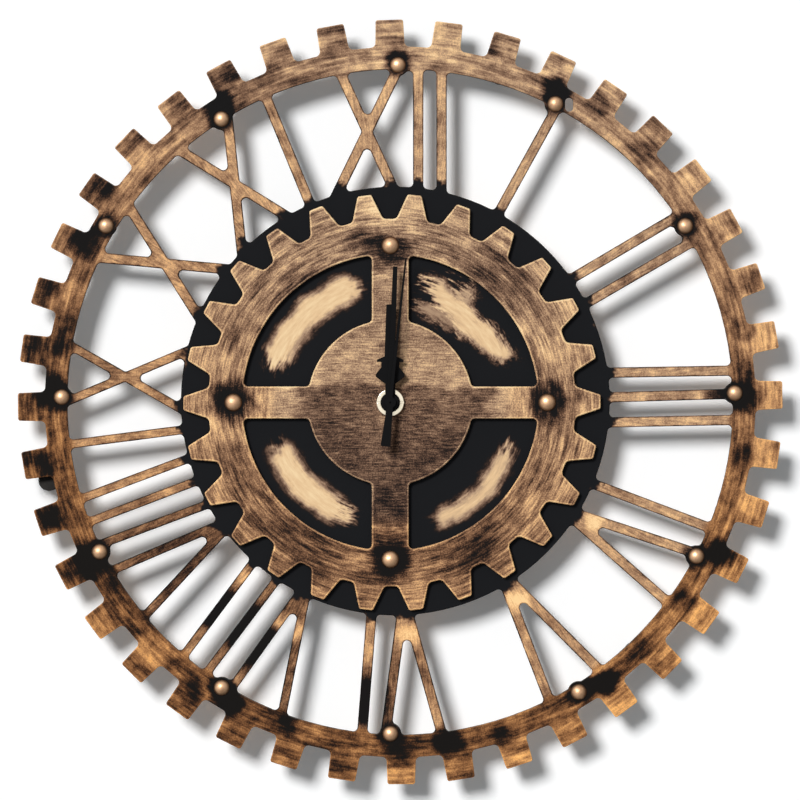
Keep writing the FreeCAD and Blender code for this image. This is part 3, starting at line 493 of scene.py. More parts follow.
@dataclass(frozen=True)
class Metal(Finish):
    """Bare metal with fine drawn lines, a light tarnish and, if given, a rim of painted shade."""

    colour: Colour
    tarnish: Colour
    roughness: float = 0.3
    lines: Point = (0.2, 4.0, 4.0)
    depth_mm: float = 0.004
    tarnish_share: float = 0.4
    blacked_mm: Optional[float] = None
    rim: Optional[Colour] = None
    line_rough: float = 0.12
    tarnish_rough: float = 0.2
    blacking: Colour = srgb(12, 12, 13)

    def lay(self, surface: Surface) -> None:
        """Lays the finish.

        Args:
            surface: The material under construction.
        """
        graph = surface.graph
        drawn = graph.noise(graph.vector("MULTIPLY", graph.place, self.lines), 1.0)
        cloud = graph.noise(graph.place, 0.3, 3.0, 0.6)
        stain = graph.smooth(cloud, 0.4, 0.75, 0.0, self.tarnish_share)
        colour = graph.mix(stain, self.colour, self.tarnish)
        if self.blacked_mm is not None:
            tip = graph.smooth(graph.split(graph.place)[1], self.blacked_mm,
                               self.blacked_mm + 0.2, 1.0, 0.0)
            colour = graph.mix(tip, colour, self.blacking)
        # Painted shade: the rim colour darkens the metal where it turns away from the view, as
        # round the edge of a dome.
        if self.rim is not None:
            weight = graph.node("ShaderNodeLayerWeight", {"Blend": 0.5})
            turned = graph.smooth(weight.outputs["Facing"], 0.12, 0.5, 0.0, 0.85)
            colour = graph.mix(turned, colour, self.rim)
        rough = graph.total(self.roughness - self.line_rough / 2, (drawn, self.line_rough),
                            (stain, self.tarnish_rough))
        surface.give(Base_Color=colour, Roughness=rough, Metallic=1.0)
        surface.bump(drawn, self.depth_mm)


@dataclass(frozen=True)
class Winding(Finish):
    """Lacquered copper wire laid in turns along X, with painted shade in the grooves between
    turns.
    """

    wire_mm: float = 0.16
    groove_shade: Colour = srgb(92, 40, 18)
    dark: Colour = srgb(150, 74, 34)
    light: Colour = srgb(214, 128, 72)

    def lay(self, surface: Surface) -> None:
        """Lays the finish.

        Args:
            surface: The material under construction.
        """
        graph = surface.graph
        x, _, _ = graph.split(graph.place)
        turn = graph.math("SINE", graph.math("MULTIPLY", x, 2 * math.pi / self.wire_mm))
        height = graph.total(0.5, (turn, 0.5))
        wire = graph.mix(graph.noise(graph.place, 0.8, 3.0, 0.6), self.dark, self.light)
        # Painted shade: the grooves between the turns take the darker colour.
        surface.give(Base_Color=graph.mix(graph.math("MULTIPLY", height, 0.4), self.groove_shade, wire),
                     Metallic=0.7, Roughness=0.34)
        surface.bump(height, 0.05)


@dataclass(frozen=True)
class Laminate(Finish):
    """Brown circuit laminate with a few plain tracks."""

    pitch_mm: float = 2.2
    dark: Colour = srgb(128, 92, 46)
    light: Colour = srgb(166, 126, 70)
    track: Colour = srgb(108, 120, 62)

    def lay(self, surface: Surface) -> None:
        """Lays the finish.

        Args:
            surface: The material under construction.
        """
        graph = surface.graph
        x, _, _ = graph.split(graph.place)
        along = graph.total(x, (graph.noise(graph.place, 0.09, 0.0), 9.0))
        cycle = graph.math("PINGPONG", along, self.pitch_mm / 2)
        track = graph.smooth(cycle, self.pitch_mm * 0.3, self.pitch_mm * 0.34)
        fibre = graph.noise(graph.vector("MULTIPLY", graph.place, (3.0, 1.0, 0.6)), 1.0, 3.0)
        base = graph.mix(fibre, self.dark, self.light)
        surface.give(Base_Color=graph.mix(track, base, self.track), Roughness=0.42)
        surface.bump(graph.total(0.0, (track, 1.0), (fibre, 0.3)), 0.03)


@dataclass(frozen=True)
class Sleeve(Finish):
    """Printed sleeve of a plain battery, with bands round it and bare metal at its ends."""

    bands: tuple[tuple[float, Colour], ...] = (
        (0.0, srgb(150, 150, 152)), (0.06, srgb(150, 150, 152)), (0.065, srgb(62, 96, 108)),
        (0.74, srgb(62, 96, 108)), (0.745, srgb(206, 206, 200)), (0.93, srgb(206, 206, 200)),
        (0.935, srgb(160, 160, 162)), (1.0, srgb(160, 160, 162)))
    scuff: Colour = srgb(120, 118, 114)

    def lay(self, surface: Surface) -> None:
        """Lays the finish.

        Args:
            surface: The material under construction.
        """
        graph = surface.graph
        low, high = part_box("battery")
        x, _, _ = graph.split(graph.place)
        share = graph.math("DIVIDE", graph.math("SUBTRACT", x, low.x / MM),
                           (high.x - low.x) / MM)
        scuff = graph.noise(graph.vector("MULTIPLY", graph.place, (1.5, 0.3, 0.3)), 1.0, 4.0,
                            0.7)
        worn = graph.mix(graph.smooth(scuff, 0.58, 0.75, 0.0, 0.35),
                         graph.ramp(share, self.bands), self.scuff)
        surface.give(Base_Color=worn, Roughness=graph.total(0.22, (scuff, 0.2)),
                     Metallic=graph.band(share, 0.06, 0.93, 0.004), Coat_Weight=0.3)
        surface.bump(scuff, 0.008)


@dataclass(frozen=True)
class Patch:
    """Patch of paint: where it is, how far it reaches and how much lighter it is."""

    angle: float
    radius: float
    reach: float
    lift: float

    def centre(self, hub: Sequence[float]) -> Point:
        """Centre in millimetres, with the angle clockwise from twelve about a hub."""
        turn = math.radians(self.angle)
        return (hub[0] + self.radius * math.sin(turn), 0.0, hub[1] + self.radius * math.cos(turn))


@dataclass(frozen=True)
class Streak:
    """Arc of pale paint rubbed on the black disc."""

    start: float
    end: float
    inner: float
    outer: float
    sag: float = 0.0
    strength: float = 0.9
    broken: float = 0.5


class Sheet(NamedTuple):
    """What a board's paint is read from: place in its plane, grain and place about its hub."""

    flat: Socket
    grain: Sequence[Socket]
    arm: Arm


@dataclass(frozen=True)
class BoardPaint(Finish):
    """Black board with bronze paint rubbed over it.

    Its front comes from a tone between black and cream. The edges are near black, and the back
    is brown board under a thin black spray. The shares are those of broad noise, mottle,
    blotches, strokes and specks.
    """

    hub: tuple[float, float]
    tones: tuple[tuple[float, Colour], ...] = (
        (0.0, srgb(7, 6, 7)), (0.13, srgb(37, 26, 22)), (0.30, srgb(92, 69, 56)),
        (0.48, srgb(140, 111, 90)), (0.65, srgb(183, 152, 123)), (0.83, srgb(225, 190, 146)),
        (1.0, srgb(244, 217, 172)))
    patches: tuple[Patch, ...] = ()
    warm: Colour = (1.2, 0.87, 0.5, 1.0)
    ground: Colour = srgb(13, 14, 17)
    edge_colours: tuple[Colour, Colour] = (srgb(26, 22, 21), srgb(78, 58, 44))
    board_colours: tuple[Colour, Colour] = (srgb(122, 92, 64), srgb(158, 124, 90))
    back_spray: Colour = srgb(34, 31, 30)
    grain_mm: float = 0.85
    broad: float = 0.05
    sweep: tuple[float, float] = (3.0, 0.22)
    shares: tuple[float, ...] = (0.4, 0.45, 0.3, 0.95, 0.8)
    ragged_mm: float = 10.0
    rim_reach: float = 0.85

    def sheet(self, surface: Surface) -> Sheet:
        """Reads what the paint depends on.

        Args:
            surface: The material under construction.

        Returns:
            Place in the board's plane, grain and place about the hub.
        """
        graph = surface.graph
        x, _, z = graph.split(graph.place)
        flat = graph.join(x, 0.0, z)
        grain = graph.group(surface.effects.grain, Place=flat, Size=self.grain_mm)
        return Sheet(flat, grain, graph.polar(flat, self.hub))

    def weathered(self, surface: Surface, sheet: Sheet, tone: Socket, strokes: Socket,
                  swept: Socket, rubbed: Input) -> Socket:
        """Adds brushed sweeps, noise, patches and rims to a tone; lighter rims are worn paint and
        painted highlight, darker rims painted shade.

        Args:
            surface: The material under construction.
            sheet: What the paint is read from.
            tone: What they are added to.
            strokes: The brush strokes.
            swept: Mask of where the sweeps show.
            rubbed: How much lighter the rim is; above zero it is worn paint and painted
                highlight, below zero painted shade.

        Returns:
            The new tone.
        """
        graph, flat = surface.graph, sheet.flat
        sweep = graph.centred(graph.strokes(sheet.arm, *self.sweep, 2.0))
        tone = graph.total(tone, (graph.math("MULTIPLY", sweep, swept), 1.0))
        layers = (graph.noise(flat, self.broad), sheet.grain["Mottle"],
                  graph.noise(flat, 0.33, 3.0, 0.65), strokes, sheet.grain["Specks"])
        tone = graph.varied(tone, *zip(layers, self.shares))
        shift = graph.vector("SUBTRACT", graph.noise(flat, 0.11, 3.0, 0.6, Noise.COLOUR), HALF)
        shift = graph.vector("MULTIPLY", shift, (self.ragged_mm, 0.0, self.ragged_mm))
        place = graph.vector("ADD", flat, shift)
        for patch in self.patches:
            tone = graph.group(surface.effects.spot, Sum=tone, Place=place,
                               Centre=patch.centre(self.hub), Reach=patch.reach,
                               Strength=patch.lift)[0]
        # Rim: worn paint and painted highlight where the lift is above zero, painted shade below
        # zero.
        rim = graph.node("ShaderNodeAttribute", attribute_name="rim").outputs["Fac"]
        worn = graph.group(surface.effects.rim_wear_highlight_shade, Rim=rim, Place=flat, Reach=self.rim_reach)[0]
        return graph.total(tone, (worn, rubbed))

    def finish(self, surface: Surface, tone: Socket, warmth: Input, strokes: Socket,
               bare: Input = 0.0) -> None:
        """Joins the front, the edges and the back into the shader.

        Args:
            surface: The material under construction.
            tone: Tone of the front, from 0 for black to 1 for cream.
            warmth: How red the paint is, from 0 to 1.
            strokes: Height of the brush strokes.
            bare: Where the black ground is left without bronze, from 0 to 1.
        """
        graph = surface.graph
        place = graph.place
        tone = graph.math("MINIMUM", graph.math("MAXIMUM", tone, 0.0), 1.0)
        front = graph.mix(warmth, graph.ramp(tone, self.tones), self.warm, "MULTIPLY")
        front = graph.mix(bare, front, self.ground)
        facing = graph.facing()
        at_back = graph.smooth(facing, 0.3, 0.9)
        at_side = graph.band(facing, -0.6, 0.5, 0.1)
        off_front = graph.math("MAXIMUM", at_side, at_back)
        fibre = graph.noise(graph.vector("MULTIPLY", place, (0.5, 2.5, 0.5)), 1.0, 4.0, 0.65)
        side = graph.mix(graph.smooth(fibre, 0.45, 0.8), *self.edge_colours)
        spray = graph.noise(place, 0.9, 4.0, 0.75)
        cloud = graph.noise(place, 0.03, 3.0)
        cover = graph.smooth(graph.total(-0.1, (spray, 0.6), (cloud, 0.6)), 0.38, 0.6)
        board = graph.mix(graph.noise(place, 1.6, 4.0, 0.7), *self.board_colours)
        back = graph.mix(cover, board, self.back_spray)
        colour = graph.mix(at_back, graph.mix(at_side, front, side), back)
        dust = graph.group(surface.effects.dust, Place=place, Amount=0.25)["Mask"]
        bronze = graph.math("MULTIPLY", graph.smooth(tone, 0.25, 0.9),
                            graph.math("SUBTRACT", 1.0, off_front))
        rough = graph.total(0.58, (bronze, -0.1), (off_front, 0.2), (strokes, 0.06))
        surface.give(Base_Color=graph.mix(dust, colour, DUST), Roughness=rough,
                     Metallic=graph.math("MULTIPLY", bronze, 0.1), Specular_IOR_Level=0.08)
        ground = graph.choose(off_front, spray, fibre)
        surface.bump(graph.total(0.0, (strokes, 0.6), (ground, 0.5)), 0.06)


@dataclass(frozen=True)
class RingPaint(BoardPaint):
    """Paint of the ring, the numerals and the disc behind the gear."""

    disc: tuple[float, float] = (2.6, 0.8)
    disc_radius: float = 112.1
    ring_radius: float = 174.1
    root_radius: float = 185.9
    window_radius: float = 84.0
    broad: float = 0.045
    sweep: tuple[float, float] = (7.0, 0.24)
    shares: tuple[float, ...] = (0.4, 0.65, 0.42, 0.65, 0.55)
    ragged_mm: float = 7.0
    rim_reach: float = 0.75
    teeth: int = 40
    first_tooth: float = 8.1
    streaks: tuple[Streak, ...] = ()

    def streak_mask(self, graph: Graph, flat: Socket) -> Socket:
        """Draws the pale arcs that show in the gear's windows.

        Args:
            graph: Graph of the material.
            flat: Place in the board's plane.

        Returns:
            The mask.
        """
        wander = graph.noise(flat, 0.09, 3.0, 0.6, Noise.COLOUR)
        turned, pushed, _ = graph.split(graph.vector("SUBTRACT", wander, HALF))
        arm = graph.polar(flat, (0.0, 0.0))
        brush = graph.centred(graph.strokes(arm, 7.0, 0.55, roughness=0.65))
        dots = graph.centred(graph.noise(flat, 0.8, roughness=0.7))
        angle = graph.total(arm.angle, (turned, 18.0), (brush, 15.0))
        radius = graph.total(arm.radius, (pushed, 8.0))
        mask: Input = 0.0
        for streak in self.streaks:
            half = (streak.end - streak.start) / 2
            share = graph.math("DIVIDE", graph.math("SUBTRACT", angle, streak.start + half), half)
            bow = graph.total(streak.sag, (graph.math("MULTIPLY", share, share), -streak.sag))
            level = graph.math("MULTIPLY", graph.band(angle, streak.start, streak.end, 7.0),
                               graph.band(graph.math("ADD", radius, bow), streak.inner,
                                          streak.outer, 6.0))
            rough = graph.total(0.0, (brush, 2.0 * streak.broken), (dots, streak.broken))
            depth = graph.total(0.12, (graph.math("PINGPONG", level, 0.5), 2.6))
            level = graph.smooth(graph.total(level, (rough, depth)), 0.12, 1.0, 0.0,
                                 streak.strength)
            level = graph.total(level, (graph.math("MULTIPLY", level, brush), 0.45))
            mask = graph.math("MAXIMUM", mask, level)
        return mask

    def lay(self, surface: Surface) -> None:
        """Paints the dial plate.

        Args:
            surface: The material under construction.
        """
        graph = surface.graph
        flat, grain, arm = sheet = self.sheet(surface)
        x, z = arm.right, arm.up
        on_ring = graph.smooth(arm.radius, self.ring_radius - 4, self.ring_radius + 1)
        on_teeth = graph.smooth(arm.radius, self.root_radius - 0.5, self.root_radius + 1.5)
        strokes = graph.choose(on_ring, graph.strokes(arm, 150.0, 0.1),
                               graph.strokes(arm, 12.0, 0.7))
        pitch = 360.0 / self.teeth
        turned = graph.total(pitch / 2 - self.first_tooth, (arm.angle, 1.0))
        tooth = graph.math("FLOOR", graph.math("DIVIDE", turned, pitch))
        chance = graph.node("ShaderNodeTexWhiteNoise", {"W": tooth}, noise_dimensions="1D")
        tooth_tone = graph.varied(graph.total(0.50, (x, 0.11), (z, 0.05)),
                                  (chance.outputs["Value"], 0.2))
        ring_tone = graph.total(0.43, (x, 0.03), (z, 0.08))
        bar_tone = graph.total(0.62, (z, 0.03), (x, 0.02))
        tone = graph.choose(on_ring, bar_tone, graph.choose(on_teeth, ring_tone, tooth_tone))
        # Rims: painted shade on the bars and numerals, a faint lighter rim on the band, and worn
        # paint with painted highlight on the teeth.
        rubbed = graph.choose(on_ring, -0.36, graph.choose(on_teeth, 0.02, 0.16))
        tone = self.weathered(surface, sheet, tone, strokes, on_ring, rubbed)
        from_disc = graph.polar(flat, self.disc).radius
        spill = graph.noise(flat, 0.09, 3.0, 0.65)
        reach = graph.total(self.disc_radius - 8.5, (spill, 22.0))
        black = graph.smooth(graph.math("SUBTRACT", from_disc, reach), -1.5, 2.5, 1.0, 0.0)
        tone = graph.choose(black, tone, graph.total(0.02, (grain["Specks"], 0.06)))
        streaks = graph.math("MULTIPLY", self.streak_mask(graph, flat),
                             graph.smooth(from_disc, self.window_radius, self.window_radius - 4))
        bare = graph.math("MULTIPLY", black, graph.smooth(streaks, 0.0, 0.15, 1.0, 0.0))
        warmth = graph.choose(on_ring, graph.total(0.42, (x, -0.15), (z, -0.12)),
                              graph.total(0.82, (x, -0.1), (z, -0.65)))
        warmth = graph.math("MULTIPLY", graph.smooth(from_disc, 85.0, 120.0), warmth,
                            clamp=True)
        self.finish(surface, graph.math("MAXIMUM", tone, streaks), warmth, strokes, bare)


@dataclass(frozen=True)
class GearPaint(BoardPaint):
    """Paint of the front gear."""

    centre_radius: float = 43.2
    root_radius: float = 94.0

    def lay(self, surface: Surface) -> None:
        """Paints the front gear.

        Args:
            surface: The material under construction.
        """
        graph = surface.graph
        flat, _, arm = sheet = self.sheet(surface)
        x, _, z = graph.split(flat)
        level = graph.join(graph.math("MULTIPLY", x, 0.12), 0.0, graph.math("MULTIPLY", z, 1.1))
        on_centre = graph.smooth(arm.radius, self.centre_radius + 14, self.centre_radius + 24,
                                 1.0, 0.0)
        strokes = graph.choose(on_centre, graph.strokes(arm, 9.0, 1.0),
                               graph.noise(level, 1.0, 3.0, 0.62))
        height = graph.varied(z, (graph.noise(flat, 0.05, 1.0), 7.0))
        light = graph.math("MULTIPLY", graph.smooth(height, 7.0, 10.5),
                           graph.smooth(height, 20.0, 48.0, 1.0, 0.6))
        below = graph.smooth(height, -34.0, 4.0, -0.07, 0.0)
        on_teeth = graph.smooth(arm.radius, self.root_radius, self.root_radius + 6)
        tone = graph.choose(on_centre, graph.total(0.47, (arm.up, 0.06), (on_teeth, 0.12)),
                            graph.total(0.345, (light, 0.265), (below, 1.0)))
        off_centre = graph.math("SUBTRACT", 1.0, on_centre)
        # The gear's rims get lighter: worn paint and painted highlight.
        tone = self.weathered(surface, sheet, tone, strokes, off_centre, 0.28)
        warmth = graph.choose(on_centre, graph.total(0.34, (arm.up, -0.22), (arm.right, -0.03)),
                              0.12)
        self.finish(surface, tone, warmth, strokes)


def add_object(name: str, data: bpy.types.ID) -> bpy.types.Object:
    """Adds an object to the scene.

    Args:
        name: Name of the object.
        data: Its mesh, lamp or camera.

    Returns:
        The new object.
    """
    made = bpy.data.objects.new(name, data)
    bpy.context.scene.collection.objects.link(made)
    return made


def cover(piece: bpy.types.Object, material: bpy.types.Material) -> None:
    """Gives a piece or a CAD node this one material."""
    piece.data.materials.clear()
    piece.data.materials.append(material)


def turn_into_mesh(cage: Cage, name: str) -> bpy.types.Mesh:
    """Writes a cage into a new mesh.

    Args:
        cage: The cage, which is freed here.
        name: Name of the mesh.

    Returns:
        The mesh.
    """
    mesh = bpy.data.meshes.new(name)
    cage.to_mesh(mesh)
    cage.free()
    return mesh


def copy_node(node: str, merge_mm: float = 0.002) -> Cage:
    """Copies a CAD node's mesh and merges its doubled corners.

    Args:
        node: Name of the node.
        merge_mm: Distance below which two corners are one.

    Returns:
        The copy.
    """
    cage = bmesh.new()
    cage.from_mesh(bpy.data.objects[node].data)
    bmesh.ops.remove_doubles(cage, verts=cage.verts, dist=merge_mm * MM)
    return cage


def island_centres(node: str) -> list[Vector]:
    """Finds the middle of the box of each separate solid in a CAD node.

    Args:
        node: Name of the node.

    Returns:
        One point for each solid, in metres.
    """
    cage = copy_node(node)
    seen = set()
    centres = []
    for first in cage.verts:
        queue = [] if first in seen else [first]
        island = []
        while queue:
            vert = queue.pop()
            if vert not in seen:
                seen.add(vert)
                island.append(vert.co.copy())
                queue.extend(edge.other_vert(vert) for edge in vert.link_edges)
        if island:
            low, high = (Vector(map(pick, zip(*island))) for pick in (min, max))
            centres.append((low + high) / 2)
    cage.free()
    return centres


def place_piece(cage: Cage, node: str, body: Body,
                crease_degrees: float = 30.0) -> bpy.types.Object:
    """Turns a cage into the piece that stands for a CAD node.

    Args:
        cage: The cage, in metres. It is freed here.
        node: The node, which gives the piece its name and slot.
        body: Body that the piece rides on.
        crease_degrees: Angle above which an edge shades as a crease.

    Returns:
        The new piece.
    """
    limit = math.radians(crease_degrees)
    for edge in cage.edges:
        edge.smooth = edge.is_manifold and edge.calc_face_angle(0.0) < limit
    name, slot = node + "_dressed", SLOTS[node]
    piece = add_object(name, turn_into_mesh(cage, name))
    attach(piece, body.value)
    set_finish(piece, slot)
    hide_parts(node)
    LOG.info("%s: %d faces, on %s", name, len(piece.data.polygons), body.value)
    return piece


@dataclass
class Copy:
    """Copy of a CAD node that gets softened edges, rides on a body and stands for the node.

    Edges above the sharp angle are softened, faces below the flat angle count as one, and
    edges above the crease angle shade as creases.
    """

    node: str
    body: Body
    edge_mm: float = 0.2
    sharp_degrees: float = 32.0
    flat_degrees: float = 1.0
    crease_degrees: float = 50.0

    def soften(self, cage: Cage) -> None:
        """Bevels every edge that turns sharply.

        Args:
            cage: The copy's mesh.
        """
        flat, limit = math.radians(self.flat_degrees), math.radians(self.sharp_degrees)
        bmesh.ops.dissolve_limit(cage, angle_limit=flat, verts=cage.verts, edges=cage.edges,
                                 delimit=set())
        for face in cage.faces:
            face.smooth = any(flat < edge.calc_face_angle(0.0) < limit for edge in face.edges)
        sharp = [edge for edge in cage.edges if edge.is_manifold
                 and edge.calc_face_angle(0.0) > limit]
        made = bmesh.ops.bevel(cage, geom=sharp, offset=self.edge_mm * MM, segments=2,
                               profile=0.5, affect="EDGES", clamp_overlap=True, material=-1)
        for face in made["faces"]:
            face.smooth = True

    def build(self) -> bpy.types.Object:
        """Makes the piece, sets it on its body and hides the node.

        Returns:
            The new piece.
        """
        cage = copy_node(self.node)
        self.soften(cage)
        return place_piece(cage, self.node, self.body, self.crease_degrees)


@dataclass
class Board(Copy):
    """Copy of a sawn board with chamfered edges on its front and back, whose rims are marked."""

    crease_degrees: float = 30.0
    chamfer_mm: float = 0.4
    rim_mm: float = 0.7
    rim_mark: float = 0.8
    face_mm: float = 0.01
    hub_mm: tuple[float, float] = (0.0, 0.0)

    def soften(self, cage: Cage) -> None:
        """Insets both faces twice, and sinks the outermost line to form a chamfer.

        Args:
            cage: The copy's mesh.
        """
        rim = cage.verts.layers.float.new("rim")
        low = min(vert.co.y for vert in cage.verts)
        high = max(vert.co.y for vert in cage.verts)
        chamfer = self.chamfer_mm * MM
        for level, push in ((low, chamfer), (high, -chamfer)):
            faces = [face for face in cage.faces
                     if all(abs(vert.co.y - level) < self.face_mm * MM for vert in face.verts)]
            outline = self.inset(cage, faces, self.chamfer_mm)
            for vert in self.inset(cage, faces, self.rim_mm):
                vert[rim] = self.rim_mark
            for vert in outline:
                vert.co.y += push
                vert[rim] = 1.0
        middle = (low + high) / 2
        for face in cage.faces:
            face.smooth = True
        for vert in cage.verts:
            if abs(vert.co.y - middle) < high - middle - chamfer / 2:
                vert[rim] = 1.0

    @staticmethod
    def inset(cage: Cage, faces: Sequence[bmesh.types.BMFace],
              width_mm: float) -> set[bmesh.types.BMVert]:
        """Insets a region by a width.

        Args:
            cage: The mesh.
            faces: Faces of the region.
            width_mm: Width of the strip that is made.

        Returns:
            The corners along the strip's outer side.
        """
        made = bmesh.ops.inset_region(cage, faces=faces, thickness=width_mm * MM,
                                      use_boundary=True, use_even_offset=True)
        inside = {vert for face in faces for vert in face.verts}
        return {vert for face in made["faces"] for vert in face.verts} - inside

    def paint(self) -> BoardPaint:
        """Paint of the board."""
        raise NotImplementedError

    def dress(self, effects: Effects) -> None:
        """Builds the board and paints it."""
        cover(self.build(), self.paint().material(effects))


@dataclass
class DialPlate(Board):
    """The ring with its numerals and the disc."""

    node: str = "dial_plate"
    body: Body = Body.CLOCK
    chamfer_mm: float = 0.35
    rim_mm: float = 0.45
    hub_mm: tuple[float, float] = (5.2, 0.3)
    stud_shade: tuple[float, float] = (9.5, -0.75)
    patches: Sequence[Sequence[float]] = (
        (26.5, 182, 11, -0.9), (34, 187, 9, -0.32), (44, 182, 11, -0.25), (25, 196, 7, -0.29),
        (62, 194, 8, -0.25), (71, 192, 9, -0.25), (78, 184, 9, -0.25), (85, 181, 9, -0.32),
        (89, 180, 12, -0.72), (99, 182, 10, -0.29), (115, 185, 11, -0.63), (125, 180, 9, -0.32),
        (136, 180, 10, -0.25), (143.5, 182, 9, -0.9), (147, 178, 8, -0.9), (163, 181, 10, -0.36),
        (172, 179, 11, -0.68), (180, 184, 10, -0.4), (199, 178, 8, -0.29), (210, 180, 11, -0.72),
        (216, 186, 10, -0.32), (243, 183, 13, -0.77), (251, 190, 10, -0.32),
        (260, 186, 10, -0.32), (272, 183, 13, -0.72), (279, 181, 9, -0.29), (297, 185, 12, -0.6),
        (306, 189, 10, -0.29), (328.5, 183, 11, -0.75), (338, 185, 10, -0.25),
        (359.5, 185, 11, -0.29), (288, 179, 12, 0.25), (313, 184, 11, 0.2), (52, 184, 12, 0.14),
        (106, 190, 16, 0.15), (121, 118, 10, 0.4), (149, 121, 9, 0.4), (104, 118, 6, 0.3),
        (178, 122, 9, 0.35), (225, 184, 14, 0.2), (320, 192, 12, 0.15), (280, 192, 70, -0.12),
        (234, 146, 50, -0.36), (2, 184, 50, 0.12), (183, 146, 36, -0.2), (62, 146, 42, -0.12),
        (220.3, 144, 16, -0.9), (214.7, 142.6, 19, -0.85), (209.5, 147.8, 16, -0.85),
        (221.4, 124, 7, 0.25), (208.9, 130, 9, 0.35), (204.2, 132, 8, 0.35),
        (187.6, 132, 10, 0.3), (186.7, 158, 17, -0.95), (208, 146, 46, -0.26),
        (2, 144, 34, -0.1), (88.8, 168, 12, -0.5), (14, 193, 9, -0.25), (22, 195, 9, -0.3),
        (31, 194, 9, -0.28), (40, 194, 9, -0.25), (333, 194, 9, -0.3), (324, 195, 9, -0.28),
        (315, 193, 8, -0.15), (306, 194, 9, -0.1), (288, 194, 9, -0.18), (279, 195, 9, -0.2),
        (252, 195, 9, -0.25), (261, 195, 8, -0.25), (243, 196, 8, -0.2), (342, 193, 9, -0.15),
        (331, 180, 28, -0.16))
    streaks: tuple[Streak, ...] = (
        Streak(288, 345, 55.5, 71.0, 0.0, 0.88, 0.2),
        Streak(200, 250, 55.0, 70.5, 0.0, 0.88, 0.2),
        Streak(109, 160, 60.5, 70.5, -1.5, 0.82, 0.25),
        Streak(17, 70, 58.5, 73.0, 7.5, 0.86, 0.5),
        Streak(14, 42, 48.0, 57.0, 0.0, 0.6, 0.7),
        Streak(30, 39, 60.0, 76.0, 0.0, 0.7, 0.8))

    def stud_patches(self) -> list[Patch]:
        """Reads from the nails' node where the paint is dark round them.

        Returns:
            One patch for each nail of the ring.
        """
        hub = Vector((self.hub_mm[0], 0.0, self.hub_mm[1]))
        arms = [centre / MM - hub for centre in island_centres("ring_studs")]
        return [Patch(math.degrees(math.atan2(arm.x, arm.z)) % 360, math.hypot(arm.x, arm.z),
                      *self.stud_shade) for arm in arms]

    def paint(self) -> RingPaint:
        """Paint of the plate, with its patches and streaks."""
        spots = (*(Patch(*spot) for spot in self.patches), *self.stud_patches())
        return RingPaint("bronzed_ring_paint", self.hub_mm, patches=spots, streaks=self.streaks)


@dataclass
class FrontGear(Board):
    """The smaller gear that lies on the disc."""

    node: str = "front_gear"
    body: Body = Body.CLOCK
    patches: Sequence[Sequence[float]] = (
        (0, 81, 15, -0.6), (90, 83, 14, -0.62), (180, 82, 15, -0.7), (270, 83, 15, -0.68),
        (351, 84, 11, -0.25), (42, 87, 32, -0.22), (150, 87, 24, -0.16), (205, 88, 20, -0.14),
        (300, 88, 16, 0.1), (70, 86, 12, 0.14), (270, 59, 17, 0.28), (90, 61, 17, 0.28),
        (0, 58, 14, 0.05), (180, 58, 16, -0.08), (325, 92, 18, 0.12), (0, 94, 24, 0.18),
        (225, 88, 40, -0.08), (125, 92, 12, 0.1), (315, 86, 40, -0.08), (75, 90, 16, 0.1),
        (105, 90, 16, 0.1), (262, 91, 14, 0.14), (283, 91, 14, 0.12))

    def paint(self) -> GearPaint:
        """Paint of the gear, with its patches."""
        spots = tuple(Patch(*spot) for spot in self.patches)
        return GearPaint("bronzed_gear_paint", self.hub_mm, patches=spots)


@dataclass
class Nails:
    """Domed nails of one size, made round for the render."""

    node: str
    seat_node: str
    dome_radius_mm: float
    dome_height_mm: float
    pin_length_mm: float
    pin_radius_mm: float = 0.8
    dome_sides: int = 48
    pin_sides: int = 16

    def nail(self) -> bpy.types.Mesh:
        """Makes one nail, with its dome towards -Y and its pin along +Y.

        Returns:
            The mesh, with the middle of the dome's flat side at the origin.
        """
        radius, height, length, pin = (size * MM for size in (
            self.dome_radius_mm, self.dome_height_mm, self.pin_length_mm, self.pin_radius_mm))
        sphere = (radius ** 2 + height ** 2) / (2 * height)
        cage = bmesh.new()
        bmesh.ops.create_uvsphere(cage, u_segments=self.dome_sides, v_segments=self.dome_sides,
                                  radius=sphere, matrix=Matrix.Rotation(math.pi / 2, 4, "X"))
        bmesh.ops.translate(cage, verts=cage.verts, vec=(0.0, sphere - height, 0.0))
        bmesh.ops.bisect_plane(cage, geom=cage.verts[:] + cage.edges[:] + cage.faces[:],
                               plane_co=(0.0, 0.0, 0.0), plane_no=(0.0, 1.0, 0.0),
                               clear_outer=True)
        rim = [edge for edge in cage.edges if edge.is_boundary]
        bmesh.ops.holes_fill(cage, edges=rim, sides=0)
        turned = Matrix.Rotation(-math.pi / 2, 4, "X")
        shaft = length - 2 * pin
        for start, depth, end in ((0.0, shaft, pin), (shaft, 2 * pin, 0.0)):
            middle = Matrix.Translation((0.0, start + depth / 2, 0.0))
            bmesh.ops.create_cone(cage, cap_ends=True, segments=self.pin_sides, radius1=pin,
                                  radius2=end, depth=depth, matrix=middle @ turned)
        for face in cage.faces:
            face.smooth = True
        return turn_into_mesh(cage, "nail")

    def build(self) -> bpy.types.Object:
        """Makes all the nails as one piece that stands for their node.

        Returns:
            The new piece.
        """
        nail = self.nail()
        cage = bmesh.new()
        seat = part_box(self.seat_node)[0].y
        for centre in island_centres(self.node):
            first = len(cage.verts)
            cage.from_mesh(nail)
            bmesh.ops.translate(cage, verts=cage.verts[:][first:],
                                vec=(centre.x, seat, centre.z))
        bpy.data.meshes.remove(nail)
        return place_piece(cage, self.node, Body.CLOCK)


